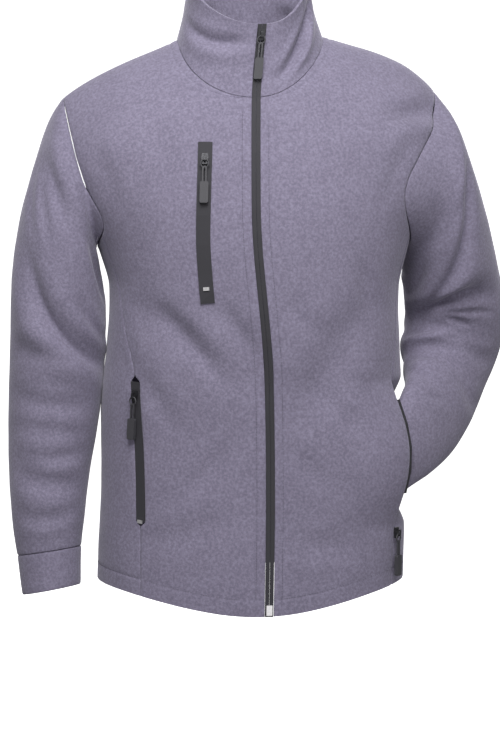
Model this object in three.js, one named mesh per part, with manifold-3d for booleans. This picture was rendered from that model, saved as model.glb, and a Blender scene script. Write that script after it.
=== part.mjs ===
// A grey fleece zip jacket, filled out as it is when it is worn: right sleeve hanging, left cuff in the hand pocket.
// Millimetres, +Z up. The front faces -Y and the wearer's left is +X. The origin is the middle of the neck opening,
// at the level where the shoulder seams meet the collar. "right" and "left" are the wearer's.
import * as THREE from "three";
import { mergeVertices } from "three/addons/utils/BufferGeometryUtils.js";
import Module from "manifold-3d";

const wasm = await Module();
wasm.setup();

// Cloth and seams
const fleece = 2.6; // wall of the body and sleeves
const doubled = 3.4; // wall of the collar and cuffs, which are folded double
const seamGap = 0.3; // between two sewn pieces
const step = 1e-3; // for slopes, in radians or in millimetres

// Body
const neckHalfWidth = 88;
const neckFrontDrop = 77;
const neckFall = { right: 1, left: 1.4 }; // how pointed the neckline is in front, on each side
const neckBack = 58; // how far behind the origin the nape lies
const shoulderPoint = { x: 227, drop: 68 };
const shoulderStraight = 0.63; // share of the shoulder's fall that is a straight slope
// How much higher the left shoulder stands, at its point and halfway along, and how much lower the right one
const shoulderTilt = 6;
const shoulderSway = { by: 4.5, right: 0.75, left: 2.4 }; // the last two say where along each it is most
const neckRise = 23; // how far the form climbs from the shoulder seams to the middle of the neck
const shoulderRoll = 120; // height over which the front and back round over into the shoulder
const squareness = 0.05; // how much fuller than an ellipse the body's section is
const frontLength = 685; // from the origin's level to the hem
const hemRise = { side: 26, back: 16, between: 8 };
const edgeWay = 0.35; // how far below the shoulder line its two seam edges stop

// Armhole: an upright loop, straight in its upper half and scooped below
const armhole = { middle: -160, halfHeight: 92, angle: 61.5, scoop: 28.5 };
const seamMeetsArmhole = 148.2; // degrees round the armhole from its top
// In front the armhole cuts in below its top, by so many degrees of the body's turn, from so far round it
const cutIn = { right: { by: 9, from: 95 }, left: { by: 12, from: 40 } };

// Zips
const mainZip = { halfWidth: 5, thick: 1.6, sink: 0.5 };
const pocketZip = { halfWidth: 6.2, thick: 1.6, sink: 0.4, top: -404, bottom: -583, ends: 7 };
const chestZip = { halfWidth: 8.3, thick: 1.2, standOff: 0.3, top: -130, bottom: -316 };
const openTape = { width: 5.2, thick: 1.5, reach: 68, lift: 1.2 };
const slider = { width: 8.4, length: 13, thick: 2.6, standOff: 0.3, edge: 0.6 };
const bail = { length: 8, height: 4.6, bar: 1.3, width: 2 };
const ring = { radius: 4.6, wire: 0.85 };
const cord = { length: 20.5, width: 5.4, thick: 1.7 };
const grip = { width: 10, length: 25, thick: 4.4, corner: 2 };
const stop = { width: 7, length: 4, thick: 1 };
const zipBox = { width: 7, length: 12, thick: 2 };
const sliderHeights = { main: -5, chest: -150, right: -428, left: -596 };
const stopHeights = { main: -676, chest: -306, right: -570 };

// Collar
const collar = { height: 85, rightLean: 15, leftLean: 20, frontLean: 12, backLean: 8, flare: 5, straight: 35 };

// The body's sections, from the hem up. shift is how far the section stands to the wearer's left.
const bodySections = [
  { z: -720, halfWidth: 192, front: 138, back: 126, shift: 1 },
  { z: -620, halfWidth: 188, front: 133, back: 119, shift: 1 },
  { z: -560, halfWidth: 186, front: 130, back: 113, shift: 2 },
  { z: -500, halfWidth: 186, front: 128, back: 108, shift: 3 },
  { z: -430, halfWidth: 185, front: 129, back: 106, shift: 3 },
  { z: -380, halfWidth: 181, front: 132, back: 109, shift: 4.5 },
  { z: -300, halfWidth: 178, front: 137, back: 117, shift: 6 },
  { z: -262, halfWidth: 187, front: 138, back: 121, shift: 5 },
  { z: -240, halfWidth: 195, front: 137, back: 122, shift: 4 },
  { z: -200, halfWidth: 213, front: 133, back: 123, shift: 2 },
  { z: -150, halfWidth: 230, front: 123, back: 121, shift: 0.5 },
  { z: -110, halfWidth: 240, front: 110, back: 115, shift: 0 },
  { z: -68, halfWidth: 249, front: 94, back: 104, shift: 0 },
  { z: 0, halfWidth: 258, front: 80, back: 84, shift: 0 },
  { z: 60, halfWidth: 262, front: 74, back: 76, shift: 0 },
];
// Where the main zip wanders off the middle of the front
const zipLine = [
  { z: -720, x: 11 },
  { z: -670, x: 12 },
  { z: -546, x: 14 },
  { z: -404, x: 12 },
  { z: -348, x: 7.6 },
  { z: -254, x: -1.5 },
  { z: -196, x: -3.4 },
  { z: -77, x: 0 },
  { z: 9, x: 8 },
];
const chestZipLine = [
  { z: -326, x: -58.5 },
  { z: -285, x: -62 },
  { z: -250, x: -64.5 },
  { z: -206, x: -64 },
  { z: -120, x: -60.5 },
];
// The seam between a front and its side panel, in degrees round from the middle of the front.
// The hand in the left pocket draws that seam round to the side.
const sideFrontSeam = [
  { z: -720, right: 43.5, left: 55 },
  { z: -583, right: 45.5, left: 56 },
  { z: -480, right: 47, left: 57 },
  { z: -404, right: 50.5, left: 59 },
  { z: -350, right: 59, left: 64 },
  { z: -290, right: 66.5, left: 68 },
  { z: -238.2, right: 67.32, left: 69.84 },
];

// The sleeves' sections below the armhole: the points furthest out and furthest in, and half the depth of the tube.
// The last two are the cuff's ends.
const rightSleeve = [
  { outX: -241, outY: 0, outZ: -97, inX: -188, inY: 0, inZ: -260, halfDepth: 69 },
  { outX: -258, outY: 0, outZ: -142, inX: -185, inY: -4, inZ: -276, halfDepth: 72 },
  { outX: -277, outY: 0, outZ: -216, inX: -179, inY: -12, inZ: -304, halfDepth: 70 },
  { outX: -288, outY: 2, outZ: -300, inX: -176, inY: -15, inZ: -350, halfDepth: 66 },
  { outX: -292, outY: 3, outZ: -385, inX: -180, inY: -12, inZ: -410, halfDepth: 61 },
  { outX: -295, outY: 0, outZ: -460, inX: -187, inY: -8, inZ: -470, halfDepth: 57 },
  { outX: -295, outY: -6, outZ: -538, inX: -197, inY: -9, inZ: -531, halfDepth: 52 },
  { outX: -291, outY: -13, outZ: -596, inX: -204, inY: -13, inZ: -585, halfDepth: 46 },
  { outX: -286, outY: -17, outZ: -628, inX: -208, inY: -16, inZ: -617, halfDepth: 41 },
  { outX: -280, outY: -24, outZ: -676, inX: -209, inY: -23, inZ: -664, halfDepth: 38 },
];
const leftSleeve = [
  { outX: 242, outY: 0, outZ: -86, inX: 195, inY: 3, inZ: -259, halfDepth: 69 },
  { outX: 261, outY: 6, outZ: -130, inX: 199, inY: 10, inZ: -276, halfDepth: 72 },
  { outX: 291, outY: 22, outZ: -204, inX: 201, inY: 24, inZ: -300, halfDepth: 69 },
  { outX: 316, outY: 44, outZ: -276, inX: 203, inY: 40, inZ: -322, halfDepth: 65 },
  { outX: 331, outY: 66, outZ: -332, inX: 206, inY: 40, inZ: -344, halfDepth: 60 },
  { outX: 321, outY: 74, outZ: -392, inX: 201, inY: 26, inZ: -364, halfDepth: 54 },
  { outX: 296, outY: 54, outZ: -446, inX: 201, inY: 6, inZ: -386, halfDepth: 42 },
  { outX: 270, outY: 22, outZ: -486, inX: 200, inY: -26, inZ: -406, halfDepth: 31 },
  { outX: 245, outY: -12, outZ: -514, inX: 186, inY: -53, inZ: -428, halfDepth: 22 },
  { outX: 217, outY: -43, outZ: -531, inX: 164, inY: -71, inZ: -455, halfDepth: 17 },
  { outX: 185, outY: -66, outZ: -546, inX: 139, inY: -88, inZ: -477, halfDepth: 15 },
  { outX: 151, outY: -80, outZ: -568, inX: 114, inY: -98, inZ: -506, halfDepth: 15 },
  { outX: 120, outY: -82, outZ: -611, inX: 86, inY: -100, inZ: -550, halfDepth: 15 },
];

// What the hand in the left pocket does: the front lip stands out and the side panel is pressed in
const handInPocket = { lipOut: 26, sideIn: 54, middle: -500, reach: 90, spread: 24, behind: 14 };
const hip = { out: 8, height: -590, reach: 70 }; // below that pocket the cloth stands out a little

// Soft troughs: a line through three points, half its width, its depth, and how much one side stands over the other.
// On the fronts the points are x and z.
const bodyFolds = [
  { from: [-150, -330], via: [-95, -350], to: [-10, -440], width: 24, depth: 5, lean: 0 },
  { from: [-60, -300], via: [-25, -360], to: [20, -440], width: 22, depth: 4, lean: 0 },
  { from: [150, -300], via: [90, -380], to: [40, -480], width: 26, depth: 4, lean: 0 },
  { from: [228, -84], via: [196, -92], to: [150, -96], width: 13, depth: 6, lean: 2 },
];
// On a sleeve they are degrees round it, from its outer edge over the front, and the distance down its middle.
const rightSleeveFolds = [
  { from: [45, 110], via: [95, 186], to: [190, 226], width: 17, depth: 8, lean: 3 },
  { from: [20, 16], via: [72, 36], to: [136, 24], width: 12, depth: -3, lean: 0 },
  { from: [126, 40], via: [150, 64], to: [176, 116], width: 13, depth: 4, lean: 0 },
  { from: [30, 358], via: [80, 376], to: [145, 388], width: 14, depth: 4, lean: 0 },
  { from: [205, 250], via: [255, 264], to: [320, 240], width: 17, depth: 5, lean: 0 },
];
const leftSleeveFolds = [
  { from: [172, 205], via: [112, 146], to: [50, 178], width: 15, depth: 8, lean: 3 },
  { from: [50, 30], via: [108, 104], to: [168, 180], width: 15, depth: 5, lean: 0 },
  { from: [40, 18], via: [88, 26], to: [140, 26], width: 12, depth: -3, lean: 0 },
  { from: [195, 290], via: [152, 274], to: [106, 270], width: 15, depth: 5, lean: 0 },
  { from: [200, 150], via: [250, 172], to: [310, 150], width: 17, depth: 5, lean: 0 },
];
// On the collar they are degrees round the neck from the front, and the height above its seam.
const collarFolds = [
  { from: [-14, 68], via: [-34, 52], to: [-88, 26], width: 8, depth: 5, lean: 2 },
  { from: [16, 12], via: [38, 34], to: [72, 68], width: 9, depth: 7, lean: -2 },
];

// How many cells each piece has. frontNeck rows end on the neckline and frontBelow rows on the zip.
const cells = { front: 9, side: 3, backShoulder: 5, backNeck: 5, low: 15, frontBelow: 5, frontNeck: 5, backHigh: 9 };
const sleeveRows = 24;
const cuffRows = 2;
const collarRows = 6;

const colours = { fleece: 0x77727f, tape: 0x2b2a31, rubber: 0x3c3b42, metal: 0x8d8b90 };

const rad = THREE.MathUtils.degToRad;
const deg = THREE.MathUtils.radToDeg;
const lerp = THREE.MathUtils.lerp;
const smooth = THREE.MathUtils.smoothstep;
const clamp = THREE.MathUtils.clamp;
const vec = (x, y, z) => new THREE.Vector3(x, y, z);
const steps = (n) => Array.from({ length: n + 1 }, (_, i) => i / n);

// A smooth curve through one column of a table, straight on past its ends.
function curve(rows, key, column) {
  const k = rows.map((r) => r[key]);
  const v = rows.map((r) => r[column]);
  const last = k.length - 1;
  const slope = v.map((_, i) => {
    const a = Math.max(i - 1, 0);
    const b = Math.min(i + 1, last);
    return (v[b] - v[a]) / (k[b] - k[a]);
  });
  return (x) => {
    if (x <= k[0]) return v[0] + slope[0] * (x - k[0]);
    if (x >= k[last]) return v[last] + slope[last] * (x - k[last]);
    let i = 0;
    while (x > k[i + 1]) i++;
    const h = k[i + 1] - k[i];
    const t = (x - k[i]) / h;
    const back = 1 - t;
    return (
      v[i] * (1 + 2 * t) * back * back +
      slope[i] * h * t * back * back +
      v[i + 1] * t * t * (3 - 2 * t) -
      slope[i + 1] * h * t * t * back
    );
  };
}

const halfWidth = curve(bodySections, "z", "halfWidth");
const frontDepth = curve(bodySections, "z", "front");
const backDepth = curve(bodySections, "z", "back");
const shift = curve(bodySections, "z", "shift");
const zipX = curve(zipLine, "z", "x");
const chestZipX = curve(chestZipLine, "z", "x");
const seamAngleOf = { right: curve(sideFrontSeam, "z", "right"), left: curve(sideFrontSeam, "z", "left") };
const seamAngle = (side, z) => rad(seamAngleOf[side < 0 ? "right" : "left"](z));

// How far a set of folds moves the cloth out at (u, v).
const foldPieces = 12; // straight pieces in a fold's line
function folding(folds) {
  const at = (f, t, k) => (1 - t) * (1 - 2 * t) * f.from[k] + 4 * t * (1 - t) * f.via[k] + t * (2 * t - 1) * f.to[k];
  const lines = folds.map((f) => steps(foldPieces).map((t) => [at(f, t, 0), at(f, t, 1)]));
  return (u, v) => {
    let out = 0;
    folds.forEach((f, n) => {
      let best = { far: Infinity, side: 1, along: 0 };
      for (let i = 0; i < foldPieces; i++) {
        const a = lines[n][i];
        const b = lines[n][i + 1];
        const run = [b[0] - a[0], b[1] - a[1]];
        const off = [u - a[0], v - a[1]];
        const t = clamp((off[0] * run[0] + off[1] * run[1]) / (run[0] ** 2 + run[1] ** 2), 0, 1);
        const far = Math.hypot(off[0] - run[0] * t, off[1] - run[1] * t);
        const side = Math.sign(run[0] * off[1] - run[1] * off[0]);
        if (far < best.far) best = { far, side, along: (i + t) / foldPieces };
      }
      const r = best.far / f.width;
      const fade = Math.sin(Math.PI * best.along);
      out -= f.depth * fade * (1 - r * r) * Math.exp((-r * r) / 2);
      out += f.lean * fade * best.side * r * Math.exp((-r * r) / 4);
    });
    return out;
  };
}

// The body's form. A place on it is an angle round from the middle of the front, and a way down from the shoulder line.
const fuller = (a) => 1 + squareness * Math.sin(2 * a) ** 2;
const alongShoulder = (x) => (Math.abs(x) - neckHalfWidth) / (shoulderPoint.x - neckHalfWidth);
function tiltAt(x) {
  const u = clamp(alongShoulder(x), 0, 1) ** shoulderSway[x < 0 ? "right" : "left"];
  const sway = shoulderSway.by * Math.sin(Math.PI * u);
  return (shoulderTilt * x) / shoulderPoint.x + Math.sign(x) * sway;
}
function shoulderLine(x) {
  const u = alongShoulder(x);
  if (u < 0) return tiltAt(x) + neckRise * (1 - (x / neckHalfWidth) ** 2);
  return tiltAt(x) - shoulderPoint.drop * (shoulderStraight * u + (1 - shoulderStraight) * u ** 3);
}
const quarter = (shoulderRoll * Math.PI) / 2;
const dropOf = (way) =>
  way < quarter ? shoulderRoll * (1 - Math.cos(way / shoulderRoll)) : shoulderRoll + way - quarter;
const wayOf = (drop) =>
  drop < shoulderRoll
    ? shoulderRoll * Math.acos(1 - Math.max(drop, 0) / shoulderRoll)
    : quarter + drop - shoulderRoll;
const across = (angle, z) => shift(z) + halfWidth(z) * Math.sin(angle) * fuller(angle);

function formPoint(angle, way) {
  let z = -300;
  for (let i = 0; i < 9; i++) z = shoulderLine(across(angle, z)) - dropOf(way);
  const depth = Math.cos(angle) >= 0 ? frontDepth(z) : backDepth(z);
  const full = Math.sin(Math.min(way / shoulderRoll, Math.PI / 2));
  return vec(across(angle, z), -depth * Math.cos(angle) * fuller(angle) * full, z);
}
const placeAt = (angle, z) => ({ angle, way: wayOf(shoulderLine(across(angle, z)) - z) });
function angleAt(x, z) {
  let a = 0;
  for (let i = 0; i < 8; i++) a = Math.asin(clamp((x - shift(z)) / halfWidth(z) / fuller(a), -1, 1));
  return a;
}

function normalOf(point, u, v) {
  const du = point(u + step, v).sub(point(u - step, v));
  const dv = point(u, v + step).sub(point(u, v - step));
  return dv.cross(du).normalize();
}

// How far the cloth stands off the form. part is "front", "side" or "back".
const bodyFolding = folding(bodyFolds);
function relief(part, angle, p) {
  const folds = bodyFolding(p.x, p.z) * smooth(Math.cos(angle), 0, 0.3);
  if (p.x < 0) return folds;
  const hand = handInPocket;
  const off = deg(angle - seamAngle(1, p.z)) / hand.spread;
  const near = Math.exp(-off * off);
  const below = hip.out * Math.exp(-(((p.z - hip.height) / hip.reach) ** 2)) * near;
  const open = Math.max(0, 1 - ((p.z - hand.middle) / hand.reach) ** 2) ** 1.5;
  if (part === "front") return folds + below + hand.lipOut * open * near;
  const behind = Math.exp(-((Math.max(0, deg(angle) - 90) / hand.behind) ** 2));
  return folds + below - hand.sideIn * open * (0.4 + 0.6 * near) * behind;
}
function clothPoint(part) {
  return (angle, way) => {
    const p = formPoint(angle, way);
    const out = normalOf(formPoint, angle, Math.max(way, 2 * step));
    return p.addScaledVector(out, relief(part, angle, p));
  };
}

// Turns a closed mesh's faces outwards if they point in.
function facingOut(flat, faces) {
  const at = (i) => vec(flat[3 * i], flat[3 * i + 1], flat[3 * i + 2]);
  let volume = 0;
  for (let i = 0; i < faces.length; i += 3) {
    volume += at(faces[i]).dot(at(faces[i + 1]).cross(at(faces[i + 2])));
  }
  for (let i = 0; volume < 0 && i < faces.length; i += 3) [faces[i], faces[i + 1]] = [faces[i + 1], faces[i]];
  return new THREE.BufferGeometry()
    .setAttribute("position", new THREE.Float32BufferAttribute(flat, 3))
    .setIndex(faces);
}

// A sheet with thickness, from rows of outer points and the way out at each. Round means that each row closes.
function wall(points, outs, thick, round = false) {
  const rows = points.length;
  const cols = points[0].length;
  const flat = points.flatMap((row, r) =>
    row.flatMap((p, c) => [...p.toArray(), ...p.clone().addScaledVector(outs[r][c], -thick).toArray()]),
  );
  const outer = (r, c) => 2 * (r * cols + (c % cols));
  const inner = (r, c) => outer(r, c) + 1;
  const faces = [];
  const quad = (a, b, c, d) => faces.push(a, b, c, a, c, d);
  const spans = round ? cols : cols - 1;
  for (let r = 0; r < rows - 1; r++) {
    for (let c = 0; c < spans; c++) {
      quad(outer(r, c), outer(r, c + 1), outer(r + 1, c + 1), outer(r + 1, c));
      quad(inner(r, c), inner(r + 1, c), inner(r + 1, c + 1), inner(r, c + 1));
    }
  }
  for (let c = 0; c < spans; c++) {
    quad(outer(0, c), inner(0, c), inner(0, c + 1), outer(0, c + 1));
    quad(outer(rows - 1, c), outer(rows - 1, c + 1), inner(rows - 1, c + 1), inner(rows - 1, c));
  }
  for (let r = 0; !round && r < rows - 1; r++) {
    quad(outer(r, 0), outer(r + 1, 0), inner(r + 1, 0), inner(r, 0));
    quad(outer(r, cols - 1), inner(r, cols - 1), inner(r + 1, cols - 1), outer(r + 1, cols - 1));
  }
  return facingOut(flat, faces);
}

const garment = new THREE.Group();
function add(name, geometry, colour, roughness = 0.95, metalness = 0) {
  const mesh = new THREE.Mesh(geometry, new THREE.MeshStandardMaterial({ color: colour, roughness, metalness }));
  mesh.name = name;
  garment.add(mesh);
}

// A body panel from a map of (s, t) to places on the form.
function panel(name, part, columns, rows, place) {
  const point = clothPoint(part);
  const places = rows.map((t) => columns.map((s) => place(s, t)));
  const points = places.map((row) => row.map((p) => point(p.angle, p.way)));
  const outs = places.map((row) => row.map((p) => normalOf(point, p.angle, Math.max(p.way, 2 * step))));
  add(name, wall(points, outs, fleece), colours.fleece);
}

// The hem's height at an angle: lowest in front, higher at the sides.
function hemAt(angle) {
  const back = Math.max(0, -Math.cos(angle));
  const between = Math.cos(angle) > 0 ? hemRise.between * Math.sin(2 * angle) ** 2 : 0;
  return -frontLength + hemRise.side * Math.sin(angle) ** 2 + between + hemRise.back * back;
}

// The armhole, by degrees from its top: over the front to 180, and on over the back to 360.
// side is 1 for the wearer's left and -1 for the right.
function armholePlace(side, turn) {
  const phi = rad(turn <= 180 ? turn : 360 - turn);
  const scoop = phi > Math.PI / 2 ? armhole.scoop * (1 - Math.sin(phi)) : 0;
  const lift = side * shoulderTilt * Math.max(0, Math.cos(phi)) ** 2;
  const z = armhole.middle + armhole.halfHeight * Math.cos(phi) + lift;
  const { by, from } = cutIn[side < 0 ? "right" : "left"];
  const round = clamp((turn - from) / (180 - from), 0, 1);
  const angle = side * rad(armhole.angle + scoop - by * Math.sin(Math.PI * round) ** 2);
  const way = turn % 360 === 0 ? edgeWay : Math.max(placeAt(angle, z).way, edgeWay);
  return { angle: turn <= 180 ? angle : side * Math.PI - angle, way };
}
const shoulderTip = (side) => {
  const tip = armholePlace(side, 0);
  return formPoint(tip.angle, tip.way).x;
};
const armholeHeight = (turn) => armhole.middle + armhole.halfHeight * Math.cos(rad(turn));
const seamTop = armholeHeight(seamMeetsArmhole);
const armpit = armholeHeight(180);

// The neckline, by degrees from the middle of the front.
function necklinePlace(turn) {
  const a = rad(Math.abs(turn));
  const x = neckHalfWidth * Math.sin(a);
  if (Math.abs(turn) <= 90) {
    const across = Math.sign(turn) * x;
    const z = tiltAt(across) - neckFrontDrop * Math.cos(a) ** neckFall[turn < 0 ? "right" : "left"];
    return { angle: angleAt(across, z), way: wayOf(shoulderLine(across) - z) };
  }
  const angle = angleAt(x, 0);
  const full = (-neckBack * Math.cos(a)) / (backDepth(0) * Math.cos(angle) * fuller(angle));
  return { angle: Math.sign(turn) * (Math.PI - angle), way: shoulderRoll * Math.asin(full) };
}
const neckStart = deg(Math.asin((mainZip.halfWidth + seamGap) / neckHalfWidth));
const neckFront = (s) => lerp(neckStart, 90, s);
const neckBehind = (s) => lerp(90, 180, s);
const neckEdge = (turn) => {
  const p = necklinePlace(turn);
  return { angle: p.angle, way: Math.max(p.way, edgeWay) };
};

const between = (a, b, t) => ({ angle: lerp(a.angle, b.angle, t), way: lerp(a.way, b.way, t) });
// Fills the inside of four edges, given as maps to places on the form.
function spanned(bottom, top, left, right) {
  return (s, t) => {
    const along = between(bottom(s), top(s), t);
    const over = between(left(t), right(t), s);
    const corners = between(between(bottom(0), bottom(1), s), between(top(0), top(1), s), t);
    return { angle: along.angle + over.angle - corners.angle, way: along.way + over.way - corners.way };
  };
}

// A low row's share of the way up, from its height at the pocket's seam
const seamFoot = hemAt(seamAngle(-1, pocketZip.bottom));
const rowAt = (z) => (z - seamFoot) / (seamTop - seamFoot);
// Rows of the body below the armholes, with some just where the pocket zips begin and end.
const lowRows = (() => {
  const { top, bottom, ends } = pocketZip;
  const marks = [bottom, bottom + ends, top - ends, top].map(rowAt);
  const plain = steps(cells.low).filter((t) => marks.every((m) => Math.abs(m - t) > 0.4 / cells.low));
  return [...plain, ...marks].sort((a, b) => a - b);
})();
// Upper rows: some up to the zip's end at the neckline, then some along it.
const frontRows = [
  ...steps(cells.frontBelow).map((t) => t / 2),
  ...steps(cells.frontNeck).map((t) => 0.5 + t / 2),
].filter((t, i, all) => t > 0 && t !== all[i - 1]);

// Half the opening that the seam at the pocket zip leaves in its two panels, as an angle.
const roundTheSeam = { closed: 145, open: 163 }; // millimetres for each radian at that seam
function slotAngle(side, z) {
  const { top, bottom, ends } = pocketZip;
  const inside = smooth(z, bottom, bottom + ends) * (1 - smooth(z, top - ends, top));
  const open = side < 0 ? pocketZip.halfWidth + seamGap / 2 : seamGap / 2;
  return seamGap / 2 / roundTheSeam.closed + (inside * open) / roundTheSeam.open;
}
const zipEdge = (side, z) => angleAt(zipX(z) + side * (mainZip.halfWidth + seamGap), z);
const lowHeight = (angle, top, t) => lerp(hemAt(angle), top, t);

// Where a front's two side edges lie in a lower row.
const frontInnerEdge = (side, t) => zipEdge(side, lowHeight(0, seamTop, t));
function frontOuterEdge(side, t) {
  const z = lowHeight(seamAngle(side, -frontLength), seamTop, t);
  return side * (seamAngle(side, z) - slotAngle(side, z));
}
function front(side) {
  const low = (s, t) => {
    const angle = lerp(frontInnerEdge(side, t), frontOuterEdge(side, t), s);
    return placeAt(angle, lowHeight(angle, seamTop, t));
  };
  const inner = (t) => {
    if (t >= 0.5) return neckEdge(side * neckFront(2 * t - 1));
    const z = lerp(seamTop, -neckFrontDrop, 2 * t);
    return placeAt(zipEdge(side, z), z);
  };
  const outer = (t) => armholePlace(side, seamMeetsArmhole * (1 - t));
  const top = (s) => {
    const x = lerp(side * neckHalfWidth, shoulderTip(side), s);
    return { angle: angleAt(x, shoulderLine(x)), way: edgeWay };
  };
  const high = spanned((s) => low(s, 1), top, inner, outer);
  const rows = [...lowRows, ...frontRows.map((t) => 1 + t)];
  const name = side < 0 ? "front_right" : "front_left";
  panel(name, "front", steps(cells.front), rows, (s, t) => (t <= 1 ? low(s, t) : high(s, t - 1)));
}

// A side panel, between its front and the back, up to the underarm.
const sideSeam = rad(90);
const roundTheSide = 115; // millimetres for each radian at the side seam
const sideSeamHalf = seamGap / 2 / roundTheSide;
function sideInnerEdge(side, t) {
  const z = lowHeight(seamAngle(side, -frontLength), seamTop, t);
  return seamAngle(side, z) + slotAngle(side, z);
}
function sidePanel(side) {
  const place = (s, t) => {
    const turn = lerp(seamMeetsArmhole, 180, s);
    const low = lerp(sideInnerEdge(side, t), sideSeam - sideSeamHalf, s);
    const underarm = Math.abs(armholePlace(side, turn).angle);
    const topAngle = s === 0 ? low : Math.min(underarm, sideSeam - sideSeamHalf);
    const angle = lerp(low, topAngle, smooth(t, 0.7, 1));
    return placeAt(side * angle, lowHeight(angle, armholeHeight(turn), t));
  };
  const name = side < 0 ? "side_right" : "side_left";
  panel(name, "side", steps(cells.side), lowRows, place);
}

// The back, from side seam to side seam and up to the shoulders and neckline.
const shoulderShare = 0.31; // share of the back's top edge that each shoulder seam takes
const backColumns = (() => {
  const half = [
    ...steps(cells.backShoulder).map((s) => s * shoulderShare),
    ...steps(cells.backNeck).map((s) => lerp(shoulderShare, 0.5, s)),
  ].filter((s, i, all) => s !== all[i - 1]);
  return [...half, ...half.slice(0, -1).reverse().map((s) => 1 - s)];
})();
function back() {
  const first = sideSeam + sideSeamHalf;
  const low = (s, t) => {
    const angle = lerp(first, 2 * Math.PI - first, s);
    return placeAt(angle, lowHeight(angle, armpit, t));
  };
  const half = (s, side) => {
    if (s > shoulderShare) return neckEdge(side * neckBehind((s - shoulderShare) / (0.5 - shoulderShare)));
    const x = lerp(shoulderTip(side), side * neckHalfWidth, s / shoulderShare);
    return { angle: side * Math.PI - angleAt(x, shoulderLine(x)), way: edgeWay };
  };
  const top = (s) => {
    if (s <= 0.5) return half(s, 1);
    const p = half(1 - s, -1);
    return { angle: 2 * Math.PI + p.angle, way: p.way };
  };
  const left = (t) => {
    const p = armholePlace(1, 180 + 180 * t);
    return { angle: Math.max(p.angle, first), way: p.way };
  };
  const right = (t) => {
    const p = armholePlace(-1, 180 + 180 * t);
    return { angle: 2 * Math.PI + Math.min(p.angle, -first), way: p.way };
  };
  const high = spanned((s) => low(s, 1), top, left, right);
  const upper = steps(cells.backHigh).slice(1);
  const rows = [...lowRows, ...upper.map((t) => 1 + t)];
  panel("back", "back", backColumns, rows, (s, t) => (t <= 1 ? low(s, t) : high(s, t - 1)));
}

// The turns round the armhole at which the three panels have a corner on it.
const armholeTurns = [
  ...[0, ...frontRows].map((t) => seamMeetsArmhole * (1 - t)).reverse(),
  ...steps(cells.side).slice(1).map((s) => lerp(seamMeetsArmhole, 180, s)),
  ...steps(cells.backHigh).slice(1, -1).map((t) => 180 + 180 * t),
];

// A sleeve's seam on the body: its point there, the way out of the body, and the way off towards the sleeve.
function armholeSeam(side, turn) {
  const part = turn < seamMeetsArmhole ? "front" : turn <= 180 ? "side" : "back";
  const cloth = clothPoint(part);
  const place = (t) => armholePlace(side, t);
  const at = place(turn);
  const p = cloth(at.angle, at.way);
  const out = normalOf(cloth, at.angle, at.way);
  const ends = [place((turn + 359.5) % 360), place((turn + 0.5) % 360)].map((q) => formPoint(q.angle, q.way));
  const off = out.clone().cross(ends[1].sub(ends[0])).normalize();
  const towards = vec(side * shoulderPoint.x, 0, armhole.middle).sub(p);
  if (off.dot(towards) < 0) off.negate();
  if (turn === 0) p.y = 0;
  return { p: p.addScaledVector(off, 2 * seamGap), out, off };
}

const endsOf = (row) => [vec(row.outX, row.outY, row.outZ), vec(row.inX, row.inY, row.inZ)];
function sectionPoint(row, axis, turn) {
  const [outer, inner] = endsOf(row);
  const middle = outer.clone().add(inner).multiplyScalar(0.5);
  const wide = outer.sub(inner).multiplyScalar(0.5);
  const fore = axis.clone().cross(wide).normalize();
  if (fore.y > 0) fore.negate();
  return middle.addScaledVector(wide, Math.cos(rad(turn))).addScaledVector(fore, row.halfDepth * Math.sin(rad(turn)));
}

// The tube of an arm, from the armhole through its sections. Distances run down its middle.
function tubeOf(sections, side) {
  const middles = sections.map((row) => {
    const [a, b] = endsOf(row);
    return a.add(b).multiplyScalar(0.5);
  });
  const axes = middles.map((_, i) => {
    const a = middles[Math.max(i - 1, 0)];
    const b = middles[Math.min(i + 1, middles.length - 1)];
    return b.clone().sub(a).normalize();
  });
  const line = [armholeSeam(side, 0).p.add(armholeSeam(side, 180).p).multiplyScalar(0.5), ...middles];
  const far = [0];
  for (let i = 1; i < line.length; i++) far.push(far[i - 1] + line[i].distanceTo(line[i - 1]));
  const made = new Map();
  const lineAt = (turn) => {
    if (!made.has(turn)) {
      const points = [armholeSeam(side, turn).p, ...sections.map((row, i) => sectionPoint(row, axes[i], turn))];
      const rows = points.map((p, i) => ({ far: far[i], x: p.x, y: p.y, z: p.z }));
      made.set(turn, ["x", "y", "z"].map((k) => curve(rows, "far", k)));
    }
    return made.get(turn);
  };
  const point = (turn, along) => vec(...lineAt((turn + 720) % 360).map((f) => f(along)));
  return { point, cuffFrom: far[far.length - 2], length: far[far.length - 1] };
}

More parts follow.
